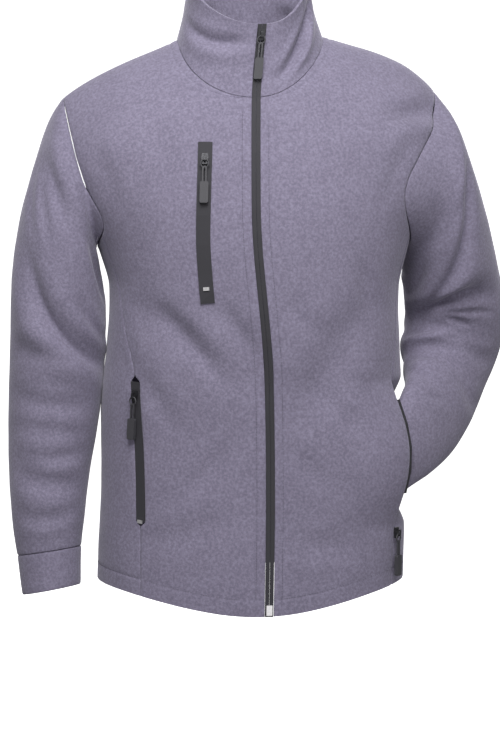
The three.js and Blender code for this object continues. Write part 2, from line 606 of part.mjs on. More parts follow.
function arm(side, sections, folds) {
  const shape = tubeOf(sections, side);
  const bend = folding(folds);
  const outOf = (point, turn, along) => {
    const around = point(turn + 0.5, along).sub(point(turn - 0.5, along));
    const down = point(turn, along + 0.5).sub(point(turn, along - 0.5));
    const out = around.cross(down).normalize();
    const through = shape.point(turn, along).sub(shape.point(turn + 180, along));
    return out.dot(through) < 0 ? out.negate() : out;
  };
  const cloth = (turn, along) => {
    const ends = smooth(along, 0, 30) * smooth(shape.cuffFrom - along, 0, 30);
    const out = outOf(shape.point, turn, along);
    return shape.point(turn, along).addScaledVector(out, ends * bend((turn + 720) % 360, along));
  };
  const piece = (name, from, to, rows, thick) => {
    const alongs = steps(rows).map((t) => lerp(from, to, t));
    const points = alongs.map((along) => armholeTurns.map((turn) => cloth(turn, along)));
    const outs = alongs.map((along) =>
      armholeTurns.map((turn) => {
        const out = outOf(cloth, turn, along);
        if (along > 0) return out;
        const { off } = armholeSeam(side, turn);
        return out.addScaledVector(off, -out.dot(off)).normalize();
      }),
    );
    add(name, wall(points, outs, thick, true), colours.fleece);
  };
  const word = side < 0 ? "right" : "left";
  piece("sleeve_" + word, 0, shape.cuffFrom, sleeveRows, fleece);
  piece("cuff_" + word, shape.cuffFrom + 2 * seamGap, shape.length, cuffRows, doubled);
}

// The collar, standing on the neckline from one side of the zip round to the other.
const collarFolding = folding(collarFolds);
function collarPoint(turn, up) {
  const t = turn > 180 ? turn - 360 : turn;
  const c = Math.cos(rad(t));
  const at = neckEdge(t);
  const base = clothPoint(c > 0 ? "front" : "back")(at.angle, at.way);
  const plan = vec(base.x * smooth(Math.abs(t), neckStart, collar.straight), base.y, 0).normalize();
  const sideLean = t < 0 ? collar.rightLean : collar.leftLean;
  const lean = sideLean * Math.sin(rad(t)) ** 2 + (c > 0 ? collar.frontLean : collar.backLean) * c * c;
  const share = up / collar.height;
  const inwards = lean * Math.sin((Math.min(share, 1.1) * Math.PI) / 2) - collar.flare * share ** 3;
  const fold = smooth(up, 4, 22) * collarFolding(t, up);
  const sway = (zipX(base.z + up) - zipX(base.z)) * Math.max(0, c) ** 3;
  return base.addScaledVector(plan, fold - inwards).add(vec(sway, 0, up + seamGap));
}
const collarTurns = [
  ...steps(cells.frontNeck).map(neckFront),
  ...steps(cells.backNeck).slice(1).map(neckBehind),
];
function collarPiece() {
  const turns = [...collarTurns, ...collarTurns.slice(0, -1).reverse().map((t) => 360 - t)];
  const ups = steps(collarRows).map((v) => v * collar.height);
  const points = ups.map((up) => turns.map((turn) => collarPoint(turn, up)));
  const outs = ups.map((up) =>
    turns.map((turn, i) => {
      const around = collarPoint(turn + 0.5, up).sub(collarPoint(turn - 0.5, up));
      const rise = collarPoint(turn, up + 0.5).sub(collarPoint(turn, up - 0.5));
      const out = around.cross(rise).normalize();
      if (up === 0) out.z = 0;
      if (i === 0 || i === turns.length - 1) out.x = 0;
      return out.normalize();
    }),
  );
  add("collar", wall(points, outs, doubled), colours.fleece);
}

// The middle of the front opening at a height: its middle, the way across to the wearer's left, and the way out.
function opening(low, z) {
  const ends = [-1, 1].map((side) => {
    if (!low) return collarPoint(side * neckStart, z);
    const place = placeAt(zipEdge(side, z), z);
    return clothPoint("front")(place.angle, place.way);
  });
  const middle = ends[0].clone().add(ends[1]).multiplyScalar(0.5);
  return { middle, over: ends[1].sub(ends[0]).normalize() };
}
// Frames up the front opening, each with the way up and out.
function framed(rows) {
  return rows.map((row, i) => {
    const above = rows[Math.min(i + 1, rows.length - 1)].middle;
    const up = above.clone().sub(rows[Math.max(i - 1, 0)].middle).normalize();
    return { ...row, up, out: row.over.clone().cross(up).normalize() };
  });
}
const zipRows = framed([
  ...lowRows.map((t) => opening(true, lowHeight(0, seamTop, t))),
  ...steps(cells.frontBelow).slice(1).map((t) => opening(true, lerp(seamTop, -neckFrontDrop, t))),
  ...steps(collarRows).slice(1).map((v) => opening(false, v * collar.height)),
]);

// A strip of tape from frames, between two distances across, standing out by the given distance.
function strip(name, frames, from, to, thick, lift, colour = colours.tape) {
  const points = frames.map((f) =>
    [from, to].map((d) => f.middle.clone().addScaledVector(f.over, d).addScaledVector(f.out, lift)),
  );
  add(name, wall(points, frames.map((f) => [f.out, f.out]), thick), colour, 0.8);
}

// A frame on a panel: at an angle and a height, with the way up the panel.
function frameOn(part, angle, z) {
  const cloth = clothPoint(part);
  const at = placeAt(angle, z);
  const higher = placeAt(angle, z + 1);
  const middle = cloth(at.angle, at.way);
  const out = normalOf(cloth, at.angle, at.way);
  const rise = cloth(higher.angle, higher.way).sub(middle);
  const up = rise.addScaledVector(out, -rise.dot(out)).normalize();
  return { middle, out, up, over: up.clone().cross(out).normalize() };
}
function chestFrame(z) {
  const f = frameOn("front", angleAt(chestZipX(z), z), z);
  const above = frameOn("front", angleAt(chestZipX(z + 1), z + 1), z + 1).middle;
  const over = above.sub(f.middle).cross(f.out).normalize();
  return { ...f, over, up: f.out.clone().cross(over) };
}

// A frame in the right pocket's slot, at a row of the panels.
function pocketFrame(t) {
  const edges = [
    ["front", frontOuterEdge(-1, t)],
    ["side", -sideInnerEdge(-1, t)],
  ];
  const [a, b] = edges.map(([part, angle]) => {
    const place = placeAt(angle, lowHeight(angle, seamTop, t));
    return clothPoint(part)(place.angle, place.way);
  });
  const middle = a.clone().add(b).multiplyScalar(0.5);
  const on = frameOn("front", -seamAngle(-1, middle.z), middle.z);
  return { middle, over: a.sub(b).normalize(), out: on.out, up: on.up };
}

// One tape of the open pocket, along the edge of its panel.
function openTapeFrames(part) {
  const side = part === "front" ? -1 : 1;
  return lowRows
    .map((t) => lowHeight(seamAngle(1, -frontLength), seamTop, t))
    .filter((z) => Math.abs(z - handInPocket.middle) < openTape.reach)
    .map((z) => {
      const angle = seamAngle(1, z) + (side * slotAngle(1, z));
      const f = frameOn(part, angle, z);
      return { ...f, over: f.over.clone().multiplyScalar(-side) };
    });
}

// Solid geometry in a frame whose x runs across, y up the zip and z out of the cloth.
function solid(geometry) {
  const g = geometry.index ? geometry : geometry.clone();
  g.deleteAttribute("normal");
  g.deleteAttribute("uv");
  const merged = mergeVertices(g, 1e-4);
  return new wasm.Manifold(
    new wasm.Mesh({
      numProp: 3,
      vertProperties: new Float32Array(merged.attributes.position.array),
      triVerts: new Uint32Array(merged.index.array),
    }),
  );
}
function geometryOf(body) {
  const mesh = body.getMesh();
  return new THREE.BufferGeometry()
    .setAttribute("position", new THREE.Float32BufferAttribute(mesh.vertProperties, 3))
    .setIndex([...mesh.triVerts]);
}
function plate(shape, thick) {
  return new THREE.ExtrudeGeometry(shape, { depth: thick, bevelEnabled: false, curveSegments: 3 });
}
function roundedShape(width, low, high, corner) {
  const shape = new THREE.Shape();
  const half = width / 2;
  shape.moveTo(-half + corner, low);
  shape.lineTo(half - corner, low);
  shape.absarc(half - corner, low + corner, corner, -Math.PI / 2, 0, false);
  shape.absarc(half - corner, high - corner, corner, 0, Math.PI / 2, false);
  shape.absarc(-half + corner, high - corner, corner, Math.PI / 2, Math.PI, false);
  shape.absarc(-half + corner, low + corner, corner, Math.PI, 1.5 * Math.PI, false);
  return shape;
}
function placed(name, geometry, frame, colour, roughness, metalness) {
  const turn = new THREE.Matrix4().makeBasis(frame.over, frame.up, frame.out).setPosition(frame.middle);
  add(name, geometry.applyMatrix4(turn), colour, roughness, metalness);
}

// A slider: a plate narrower at its foot, and a bail over it that the pull hangs from.
function sliderSolid() {
  const half = slider.width / 2;
  const top = slider.length / 2;
  const base = new THREE.Shape([
    new THREE.Vector2(-half * 0.72, -top),
    new THREE.Vector2(half * 0.72, -top),
    new THREE.Vector2(half, top * 0.2),
    new THREE.Vector2(half * 0.8, top),
    new THREE.Vector2(-half * 0.8, top),
    new THREE.Vector2(-half, top * 0.2),
  ]);
  const body = solid(plate(base, slider.thick));
  const bridge = roundedShape(bail.length, slider.thick - 0.5, slider.thick + bail.height, 1.6);
  bridge.holes.push(
    roundedShape(bail.length - 2 * bail.bar, slider.thick, slider.thick + bail.height - bail.bar, 0.7),
  );
  const arch = plate(bridge, bail.width);
  arch.applyMatrix4(new THREE.Matrix4().makeBasis(vec(0, -1, 0), vec(0, 0, 1), vec(-1, 0, 0)));
  arch.translate(bail.width / 2, 0, 0);
  return geometryOf(body.add(solid(arch)));
}
// A pull, hanging along -y from a pivot at the origin: a ring, a doubled cord and a grip.
function pullSolid() {
  const loop = new THREE.TorusGeometry(ring.radius, ring.wire, 6, 18).translate(0, -ring.radius, 0);
  const cordTop = -2 * ring.radius + cord.thick;
  const outline = roundedShape(cord.width, cordTop - cord.length, cordTop, 2.2);
  outline.holes.push(
    roundedShape(cord.width - 2 * cord.thick, cordTop - cord.length + 1, cordTop - cord.thick, 0.8),
  );
  const doubledCord = plate(outline, cord.thick).translate(0, 0, -cord.thick / 2);
  const gripTop = cordTop - cord.length + 2.5;
  const tab = plate(roundedShape(grip.width, gripTop - grip.length, gripTop, grip.corner), grip.thick);
  tab.translate(0, 0, -grip.thick / 2);
  return geometryOf(solid(loop).add(solid(doubledCord)).add(solid(tab)));
}
const pivotOut = slider.thick + 1.6; // where the ring's wire lies in the bail
const pivotLow = -bail.length / 2 + bail.bar + ring.wire + 0.3;
const pullReach = 2 * ring.radius + cord.length + grip.length - cord.thick - 2.5;

const nearest = (frames, z) =>
  frames.reduce((best, f) => (Math.abs(f.middle.z - z) < Math.abs(best.middle.z - z) ? f : best));

const resting = { from: -12, to: 40, by: 0.5, places: 12, clear: 0.5 };
// How far a pull's foot has to stand out from its slider's plane, in degrees, to lie just off the cloth.
function restingLean(pivot, frame, frames, lift) {
  const clear = (lean) =>
    steps(resting.places).every((t) => {
      const far = lerp(2 * ring.radius, pullReach, t);
      const at = pivot.clone().addScaledVector(frame.up, -far * Math.cos(rad(lean)));
      at.addScaledVector(frame.out, far * Math.sin(rad(lean)) - grip.thick / 2);
      const under = nearest(frames, at.z);
      return at.sub(under.middle).dot(under.out) > lift + resting.clear;
    });
  let lean = resting.from;
  while (lean < resting.to && !clear(lean)) lean += resting.by;
  return lean;
}

// A slider with its pull at a frame, over the frames of the zip that it lies on.
export const pivots = {};
function sliderAndPull(name, pull, frame, frames, lift) {
  const at = { ...frame, middle: frame.middle.clone().addScaledVector(frame.out, lift + slider.standOff) };
  placed(name, sliderSolid(), at, colours.rubber, 0.5, 0.4);
  const pivot = at.middle.clone().addScaledVector(frame.out, pivotOut).addScaledVector(frame.up, pivotLow);
  const hanging = -deg(Math.asin(clamp(frame.up.clone().cross(vec(0, 0, 1)).dot(frame.over), -1, 1)));
  const lean = Math.max(hanging, restingLean(pivot, frame, frames, lift));
  const turned = new THREE.Quaternion().setFromAxisAngle(frame.over, -rad(lean));
  const up = frame.up.clone().applyQuaternion(turned);
  const out = frame.out.clone().applyQuaternion(turned);
  placed(pull, pullSolid(), { middle: pivot, over: frame.over, up, out }, colours.rubber, 0.7, 0);
  pivots[pull] = { pos: pivot.toArray(), axis: frame.over.toArray(), lean, hanging };
}
// A small plate on a zip, such as the stop at its foot.
function plateOn(name, frame, size, lift, metalness = 0.9) {
  const shape = roundedShape(size.width, -size.length / 2, size.length / 2, 0.6);
  const at = { ...frame, middle: frame.middle.clone().addScaledVector(frame.out, lift + seamGap) };
  placed(name, plate(shape, size.thick), at, colours.metal, 0.4, metalness);
}

front(-1);
front(1);
sidePanel(-1);
sidePanel(1);
back();
arm(-1, rightSleeve, rightSleeveFolds);
arm(1, leftSleeve, leftSleeveFolds);
collarPiece();

strip("main_zip_right", zipRows, -mainZip.halfWidth, -seamGap / 2, mainZip.thick, -mainZip.sink);
strip("main_zip_left", zipRows, seamGap / 2, mainZip.halfWidth, mainZip.thick, -mainZip.sink);

const chestRows = steps(11).map((t) => chestFrame(lerp(chestZip.bottom, chestZip.top, t)));
const chestLift = chestZip.standOff + chestZip.thick;
strip("chest_zip", chestRows, -chestZip.halfWidth, chestZip.halfWidth, chestZip.thick, chestLift);

const pocketRows = lowRows
  .map(pocketFrame)
  .filter(({ middle }) => middle.z > pocketZip.bottom + pocketZip.ends - 2)
  .filter(({ middle }) => middle.z < pocketZip.top - pocketZip.ends + 2);
strip("pocket_zip_right", pocketRows, -pocketZip.halfWidth, pocketZip.halfWidth, pocketZip.thick, -pocketZip.sink);
strip("pocket_tape_front", openTapeFrames("front"), seamGap, seamGap + openTape.width, openTape.thick, -pocketZip.sink);
strip("pocket_tape_side", openTapeFrames("side"), seamGap, seamGap + openTape.width, openTape.thick, -pocketZip.sink);

// Finer frames down each zip, for what lies on it
const finely = (from, to) => steps(Math.round(Math.abs(to - from) / 4)).map((t) => lerp(from, to, t));
const mainFrames = framed([
  ...finely(-130, -neckFrontDrop).map((z) => opening(true, z)),
  ...finely(4, collar.height).map((up) => opening(false, up)),
]);
const chestFrames = finely(-230, chestZip.top).map(chestFrame);
const rightFrames = finely(-480, pocketZip.top - pocketZip.ends).map((z) => pocketFrame(rowAt(z)));
const leftFrames = finely(-650, sliderHeights.left).map((z) => frameOn("front", seamAngle(1, z), z));
const footFrames = framed(finely(-frontLength, -frontLength + 24).map((z) => opening(true, z)));

const { main, chest, right, left } = sliderHeights;
sliderAndPull("main_slider", "main_pull", nearest(mainFrames, main), mainFrames, 0);
sliderAndPull("chest_slider", "chest_pull", nearest(chestFrames, chest), chestFrames, chestLift);
sliderAndPull("pocket_slider_right", "pocket_pull_right", nearest(rightFrames, right), rightFrames, 0);
sliderAndPull("pocket_slider_left", "pocket_pull_left", nearest(leftFrames, left), leftFrames, openTape.lift);
plateOn("chest_zip_stop", nearest(chestRows, stopHeights.chest), stop, chestLift);
plateOn("pocket_stop_right", nearest(pocketRows, stopHeights.right), stop, 0);
plateOn("main_zip_box", nearest(footFrames, stopHeights.main), zipBox, 0);

export default garment;
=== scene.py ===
# A grey fleece zip jacket in its worn shape: right sleeve hanging, left cuff in its hand pocket.
# The maths is in millimetres, in the frame of the CAD model; meshes are written in metres.
import math

import bmesh
import bpy
import numpy as np
from mathutils import Matrix, Vector


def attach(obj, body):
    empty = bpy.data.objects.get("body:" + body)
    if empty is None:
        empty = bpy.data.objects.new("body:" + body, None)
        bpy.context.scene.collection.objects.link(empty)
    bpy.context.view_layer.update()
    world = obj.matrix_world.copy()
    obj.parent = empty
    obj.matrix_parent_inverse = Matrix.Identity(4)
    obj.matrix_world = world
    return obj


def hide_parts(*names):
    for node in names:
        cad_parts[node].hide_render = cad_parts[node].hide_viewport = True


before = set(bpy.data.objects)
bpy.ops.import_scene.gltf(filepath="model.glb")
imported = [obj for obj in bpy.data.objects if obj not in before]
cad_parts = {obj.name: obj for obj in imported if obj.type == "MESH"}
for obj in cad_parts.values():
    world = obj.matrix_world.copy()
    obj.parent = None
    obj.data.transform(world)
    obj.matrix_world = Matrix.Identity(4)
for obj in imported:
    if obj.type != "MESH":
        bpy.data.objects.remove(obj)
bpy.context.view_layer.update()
print("frame loaded")

# Camera, light and floor

view = {"target": (1, 0, -411), "azimuth": -5, "elevation": 5, "distance": 2300, "frameHeight": 926}
studio = {"floor": -1150, "room": 9000, "white": 0.93, "glow": 1.0, "sky": 0.3}
lamps = [
    {"name": "key_light", "place": (-150, -1250, 1050), "size": 1100, "power": 46},
    {"name": "fill_light", "place": (500, -2400, -300), "size": 1900, "power": 16},
    {"name": "back_light", "place": (200, 2000, 1100), "size": 1600, "power": 40},
]


def makeCamera():
    target = Vector(view["target"]) / 1000
    turn, lift = math.radians(view["azimuth"]), math.radians(view["elevation"])
    back = Vector((math.sin(turn) * math.cos(lift), -math.cos(turn) * math.cos(lift), math.sin(lift)))
    camera = bpy.data.objects.new("camera", bpy.data.cameras.new("camera"))
    bpy.context.scene.collection.objects.link(camera)
    camera.location = target + back * view["distance"] / 1000
    camera.rotation_mode = "QUATERNION"
    camera.rotation_quaternion = (-back).to_track_quat("-Z", "Y")
    camera.data.lens = camera.data.sensor_width * view["distance"] / view["frameHeight"]
    camera.data.clip_end = 50
    bpy.context.scene.camera = camera


# Materials


class Socket:
    # A node's output that the usual operators work on.
    def __init__(self, finish, output):
        self.finish, self.output = finish, output

    def maths(self, operation, *others):
        values = [o.output if isinstance(o, Socket) else o for o in (self, *others)]
        return self.finish.node("ShaderNodeMath", {"operation": operation}, dict(enumerate(values)))

    def __add__(self, other):
        return self.maths("ADD", other)

    def __radd__(self, other):
        return self.maths("ADD", other)

    def __sub__(self, other):
        return self.maths("SUBTRACT", other)

    def __rsub__(self, other):
        return (self * -1).maths("ADD", other)

    def __mul__(self, other):
        return self.maths("MULTIPLY", other)

    def __rmul__(self, other):
        return self.maths("MULTIPLY", other)


class Finish:
    # A material, with one method that adds any node to it and short forms of it for the usual ones.
    def __init__(self, name):
        self.material = bpy.data.materials.new(name)
        self.material.use_nodes = True
        self.tree = self.material.node_tree
        self.tree.nodes.clear()
        self.shader = self.tree.nodes.new("ShaderNodeBsdfPrincipled")
        surface = self.tree.nodes.new("ShaderNodeOutputMaterial")
        self.tree.links.new(self.shader.outputs[0], surface.inputs[0])

    def node(self, kind, settings, sockets, output=0):
        made = self.tree.nodes.new(kind)
        for key, value in settings.items():
            if key == "stops":
                self.setStops(made.color_ramp, value)
            else:
                setattr(made, key, value)
        self.fill(made, sockets)
        return Socket(self, made.outputs[output])

    def setStops(self, ramp, stops):
        while len(ramp.elements) < len(stops):
            ramp.elements.new(0.5)
        for element, (place, grey) in zip(ramp.elements, stops):
            element.position = place
            element.color = (grey, grey, grey, 1)

    def fill(self, made, sockets):
        for key, value in sockets.items():
            value = value.output if isinstance(value, Socket) else value
            if isinstance(value, bpy.types.NodeSocket):
                self.tree.links.new(value, made.inputs[key])
            else:
                made.inputs[key].default_value = value

    def place(self):
        # Object coordinates
        return self.node("ShaderNodeTexCoord", {}, {}, 3)

    def noise(self, place, scale, **more):
        values = {"Vector": place, "Scale": scale, "Detail": 3.0, **more}
        return self.node("ShaderNodeTexNoise", {}, values)

    def mixed(self, share, low, high):
        return self.node("ShaderNodeMix", {"data_type": "RGBA"}, {0: share, 6: low, 7: high}, 2)

    def bumped(self, strength, depth, height):
        values = {"Strength": strength, "Distance": depth, "Height": height}
        return self.node("ShaderNodeBump", {}, values)

    def surface(self, **sockets):
        self.fill(self.shader, {key.replace("_", " "): value for key, value in sockets.items()})
        return self.material


fleece = {
    "shade": (0.168, 0.152, 0.215, 1),
    "deep": (0.118, 0.106, 0.152, 1),
    "pale": (0.222, 0.202, 0.278, 1),
    "sheen": 0.3,
    "nap": 900,
    "pile": 330,
    "cloud": 26,
    "napDepth": 0.0005,
    "patches": [(0.36, 0.0), (0.66, 1.0)],
    "sheenTint": (0.86, 0.84, 0.95, 1),
}


def fleeceFinish():
    made = Finish("brushed_fleece")
    place = made.place()
    nap = made.noise(place, fleece["nap"])
    pile = made.noise(place, fleece["pile"], Detail=4.0, Roughness=0.6)
    cloud = made.noise(place, fleece["cloud"])
    patches = made.node("ShaderNodeValToRGB", {"stops": fleece["patches"]}, {"Fac": pile})
    tuft = patches * 0.6 + nap * 0.55 + cloud * 0.3 - 0.23
    dark = made.mixed(tuft, fleece["deep"], fleece["shade"])
    colour = made.mixed(tuft * tuft, dark, fleece["pale"])
    bump = made.bumped(0.8, fleece["napDepth"], pile * 0.7 + nap * 0.5)
    material = made.surface(Base_Color=colour, Roughness=0.95, Normal=bump)
    made.shader.inputs["Sheen Weight"].default_value = fleece["sheen"]
    made.shader.inputs["Sheen Roughness"].default_value = 0.45
    made.shader.inputs["Sheen Tint"].default_value = fleece["sheenTint"]
    made.shader.inputs["Specular IOR Level"].default_value = 0.25
    return material


def plainFinish(name, shade, roughness, metallic=0.0, grain=500, depth=0.0001):
    made = Finish(name)
    speck = made.noise(made.place(), grain)
    darker = tuple(0.7 * c for c in shade) + (1,)
    paler = tuple(1.35 * c for c in shade) + (1,)
    colour = made.mixed(speck, darker, paler)
    bump = made.bumped(0.6, depth, speck)
    dull = speck * 0.25 + (roughness - 0.12)
    return made.surface(Base_Color=colour, Roughness=dull, Metallic=metallic, Normal=bump)


# Smooth curves through the named columns of a table

def hermite(knots, values):
    knots, values = np.array(knots, float), np.array(values, float)
    last = len(knots) - 1
    before = np.maximum(np.arange(last + 1) - 1, 0)
    after = np.minimum(np.arange(last + 1) + 1, last)
    shape = (-1,) + (1,) * (values.ndim - 1)
    slope = (values[after] - values[before]) / (knots[after] - knots[before]).reshape(shape)

    def at(x):
        x = np.asarray(x, float)
        i = np.clip(np.searchsorted(knots, x) - 1, 0, last - 1)
        h = knots[i + 1] - knots[i]
        t = (x - knots[i]) / h
        if values.ndim > 1:
            h, t = (a.reshape(x.shape + (1,) * (values.ndim - 1)) for a in (h, t))
        b = 1 - t
        inside = values[i] * (1 + 2 * t) * b * b + slope[i] * h * t * b * b
        inside = inside + values[i + 1] * t * t * (3 - 2 * t) - slope[i + 1] * h * t * t * b
        below = values[0] + slope[0] * h * t
        above = values[last] + slope[last] * h * (t - 1)
        return np.where(t < 0, below, np.where(t > 1, above, inside))

    return at


def through(table, key, column):
    return hermite(table[key], table[column])


def smooth(x, low, high):
    t = np.clip((x - low) / (high - low), 0, 1)
    return t * t * (3 - 2 * t)


def unit(v):
    return v / np.maximum(np.linalg.norm(v, axis=-1, keepdims=True), 1e-12)


# The body's form, as in the CAD model

seam = {"gap": 0.3, "dip": 0.9, "soft": 1.3}
cloth = {"wall": 2.6, "doubled": 3.4, "bevel": 0.8, "cell": 3.6, "narrowest": 30, "around": 108, "calm": 30}
body = {
    "neckHalfWidth": 88,
    "neckFrontDrop": 77,
    "neckFall": {-1: 1, 1: 1.4},
    "neckBack": 58,
    "shoulderX": 227,
    "shoulderDrop": 68,
    "shoulderStraight": 0.63,
    "shoulderTilt": 6,
    "shoulderSway": {"by": 4.5, -1: 0.75, 1: 2.4},
    "neckRise": 23,
    "shoulderRoll": 120,
    "squareness": 0.05,
    "frontLength": 685,
    "hemRiseSide": 26,
    "hemRiseBack": 16,
    "hemRiseBetween": 8,
    "edgeWay": 0.35,
}
armhole = {"middle": -160, "halfHeight": 92, "angle": 61.5, "scoop": 28.5, "meetsSeam": 148.2}
cutIn = {-1: {"by": 9, "from": 95}, 1: {"by": 12, "from": 40}}
mainZip = {"halfWidth": 5}
pocketZip = {"halfWidth": 6.2, "top": -404, "bottom": -583, "ends": 7}
bodySections = {
    "z": [-720, -620, -560, -500, -430, -380, -300, -262, -240, -200, -150, -110, -68, 0, 60],
    "halfWidth": [192, 188, 186, 186, 185, 181, 178, 187, 195, 213, 230, 240, 249, 258, 262],
    "front": [138, 133, 130, 128, 129, 132, 137, 138, 137, 133, 123, 110, 94, 80, 74],
    "back": [126, 119, 113, 108, 106, 109, 117, 121, 122, 123, 121, 115, 104, 84, 76],
    "shift": [1, 1, 2, 3, 3, 4.5, 6, 5, 4, 2, 0.5, 0, 0, 0, 0],
}
zipLine = {
    "z": [-720, -670, -546, -404, -348, -254, -196, -77, 9],
    "x": [11, 12, 14, 12, 7.6, -1.5, -3.4, 0, 8],
}
sideFrontSeam = {
    "z": [-720, -583, -480, -404, -350, -290, -238.2],
    "right": [43.5, 45.5, 47, 50.5, 59, 66.5, 67.32],
    "left": [55, 56, 57, 59, 64, 68, 69.84],
}
handInPocket = {"lipOut": 26, "sideIn": 54, "middle": -500, "reach": 90, "spread": 24, "behind": 14}
hip = {"out": 8, "height": -590, "reach": 70}
roundTheSeam = {"closed": 145, "open": 163}
roundTheSide = 115
# Rounds in which a height and an angle settle, and pieces that a fold's line is split into
rounds = {"height": 9, "angle": 8}
foldPieces = 12

halfWidth = through(bodySections, "z", "halfWidth")
frontDepth = through(bodySections, "z", "front")
backDepth = through(bodySections, "z", "back")
shift = through(bodySections, "z", "shift")
zipX = through(zipLine, "z", "x")
seamAngles = {-1: through(sideFrontSeam, "z", "right"), 1: through(sideFrontSeam, "z", "left")}
quarter = body["shoulderRoll"] * math.pi / 2


def seamAngle(side, z):
    return np.radians(seamAngles[side](z))


def fuller(angle):
    return 1 + body["squareness"] * np.sin(2 * angle) ** 2


def across(angle, z):
    return shift(z) + halfWidth(z) * np.sin(angle) * fuller(angle)


def alongShoulder(x):
    return (np.abs(x) - body["neckHalfWidth"]) / (body["shoulderX"] - body["neckHalfWidth"])


def tiltAt(x):
    sway, u = body["shoulderSway"], np.clip(alongShoulder(x), 0, 1)
    raised = sway["by"] * np.sin(math.pi * u ** np.where(x < 0, sway[-1], sway[1]))
    return body["shoulderTilt"] * x / body["shoulderX"] + np.sign(x) * raised


def shoulderLine(x):
    u = alongShoulder(x)
    rise = body["neckRise"] * (1 - (x / body["neckHalfWidth"]) ** 2)
    straight = body["shoulderStraight"]
    fall = -body["shoulderDrop"] * (straight * u + (1 - straight) * u**3)
    return tiltAt(x) + np.where(u < 0, rise, fall)


def dropOf(way):
    roll = body["shoulderRoll"]
    return np.where(way < quarter, roll * (1 - np.cos(way / roll)), roll + way - quarter)


def wayOf(drop):
    roll = body["shoulderRoll"]
    near = roll * np.arccos(np.clip(1 - np.maximum(drop, 0) / roll, -1, 1))
    return np.where(drop < roll, near, quarter + drop - roll)


def formPoint(angle, way):
    angle, way = np.broadcast_arrays(np.asarray(angle, float), np.asarray(way, float))
    z = np.full(angle.shape, -300.0)
    for step in range(rounds["height"]):
        z = shoulderLine(across(angle, z)) - dropOf(way)
    depth = np.where(np.cos(angle) >= 0, frontDepth(z), backDepth(z))
    full = np.sin(np.minimum(way / body["shoulderRoll"], math.pi / 2))
    return np.stack([across(angle, z), -depth * np.cos(angle) * fuller(angle) * full, z], -1)


def placeAt(angle, z):
    return angle, wayOf(shoulderLine(across(angle, z)) - z)


def angleAt(x, z):
    angle = np.zeros(np.broadcast(x, z).shape)
    for step in range(rounds["angle"]):
        angle = np.arcsin(np.clip((x - shift(z)) / halfWidth(z) / fuller(angle), -1, 1))
    return angle


def normalOf(point, u, v, step=1e-3):
    du = point(u + step, v) - point(u - step, v)
    dv = point(u, v + step) - point(u, v - step)
    return unit(np.cross(dv, du))


# Folds: three points on the line, half the width, the depth, and how far one bank stands over the other

def foldsAt(folds, u, v, wrap=False):
    out = np.zeros(np.shape(u))
    shares = np.linspace(0, 1, foldPieces + 1)[:, None]
    for fold in folds:
        start, via, end = (np.array(p, float) for p in fold["line"])
        line = (1 - shares) * (1 - 2 * shares) * start + 4 * shares * (1 - shares) * via
        line = line + shares * (2 * shares - 1) * end
        over = (u - via[0] + 180) % 360 - 180 + via[0] if wrap else u
        best = np.full(out.shape, 1e9)
        side, along = np.ones(out.shape), np.zeros(out.shape)
        for i, (a, b) in enumerate(zip(line[:-1], line[1:])):
            run = b - a
            du, dv = over - a[0], v - a[1]
            t = np.clip((du * run[0] + dv * run[1]) / (run @ run), 0, 1)
            far = np.hypot(du - run[0] * t, dv - run[1] * t)
            closer = far < best
            best = np.where(closer, far, best)
            side = np.where(closer, np.sign(run[0] * dv - run[1] * du), side)
            along = np.where(closer, (i + t) / foldPieces, along)
        r = best / fold["width"]
        fade = np.sin(math.pi * along)
        out -= fold["depth"] * fade * (1 - r * r) * np.exp(-r * r / 2)
        out += fold.get("lean", 0) * fade * side * r * np.exp(-r * r / 4)
    return out


bodyFolds = [
    {"line": [(-150, -330), (-95, -350), (-10, -440)], "width": 24, "depth": 5},
    {"line": [(-60, -300), (-25, -360), (20, -440)], "width": 22, "depth": 4},
    {"line": [(150, -300), (90, -380), (40, -480)], "width": 26, "depth": 4},
    {"line": [(228, -84), (196, -92), (150, -96)], "width": 13, "depth": 6, "lean": 2},
]
finerBodyFolds = [
    {"line": [(-122, -318), (-86, -352), (-36, -398)], "width": 11, "depth": 2.4, "lean": 0.8},
    {"line": [(-98, -352), (-64, -384), (-30, -418)], "width": 10, "depth": 1.8},
    {"line": [(-48, -318), (-24, -350), (2, -388)], "width": 11, "depth": 2.0, "lean": -0.6},
    {"line": [(36, -300), (50, -332), (72, -362)], "width": 12, "depth": 2.0, "lean": 0.6},
    {"line": [(118, -262), (126, -296), (138, -336)], "width": 13, "depth": 2.2},
    {"line": [(60, -400), (88, -440), (128, -470)], "width": 14, "depth": 1.8},
    {"line": [(28, -470), (60, -512), (110, -548)], "width": 15, "depth": 1.7, "lean": 0.5},
    {"line": [(-30, -470), (-66, -520), (-116, -560)], "width": 15, "depth": 1.7},
    {"line": [(-150, -395), (-118, -430), (-96, -480)], "width": 13, "depth": 1.8},
    {"line": [(-40, -560), (-90, -590), (-140, -600)], "width": 16, "depth": 1.6},
    {"line": [(30, -590), (80, -606), (130, -600)], "width": 16, "depth": 1.6},
    {"line": [(200, -110), (172, -150), (150, -215)], "width": 12, "depth": 1.8},
    {"line": [(-200, -120), (-178, -160), (-160, -222)], "width": 12, "depth": 1.6},
    {"line": [(-128, -96), (-108, -140), (-112, -190)], "width": 14, "depth": 1.4},
    {"line": [(60, -90), (100, -108), (150, -118)], "width": 14, "depth": 1.5},
    {"line": [(-20, -86), (-30, -97), (-46, -96)], "width": 5, "depth": 1.3},
    {"line": [(18, -88), (30, -98), (52, -94)], "width": 5, "depth": 1.3},
]
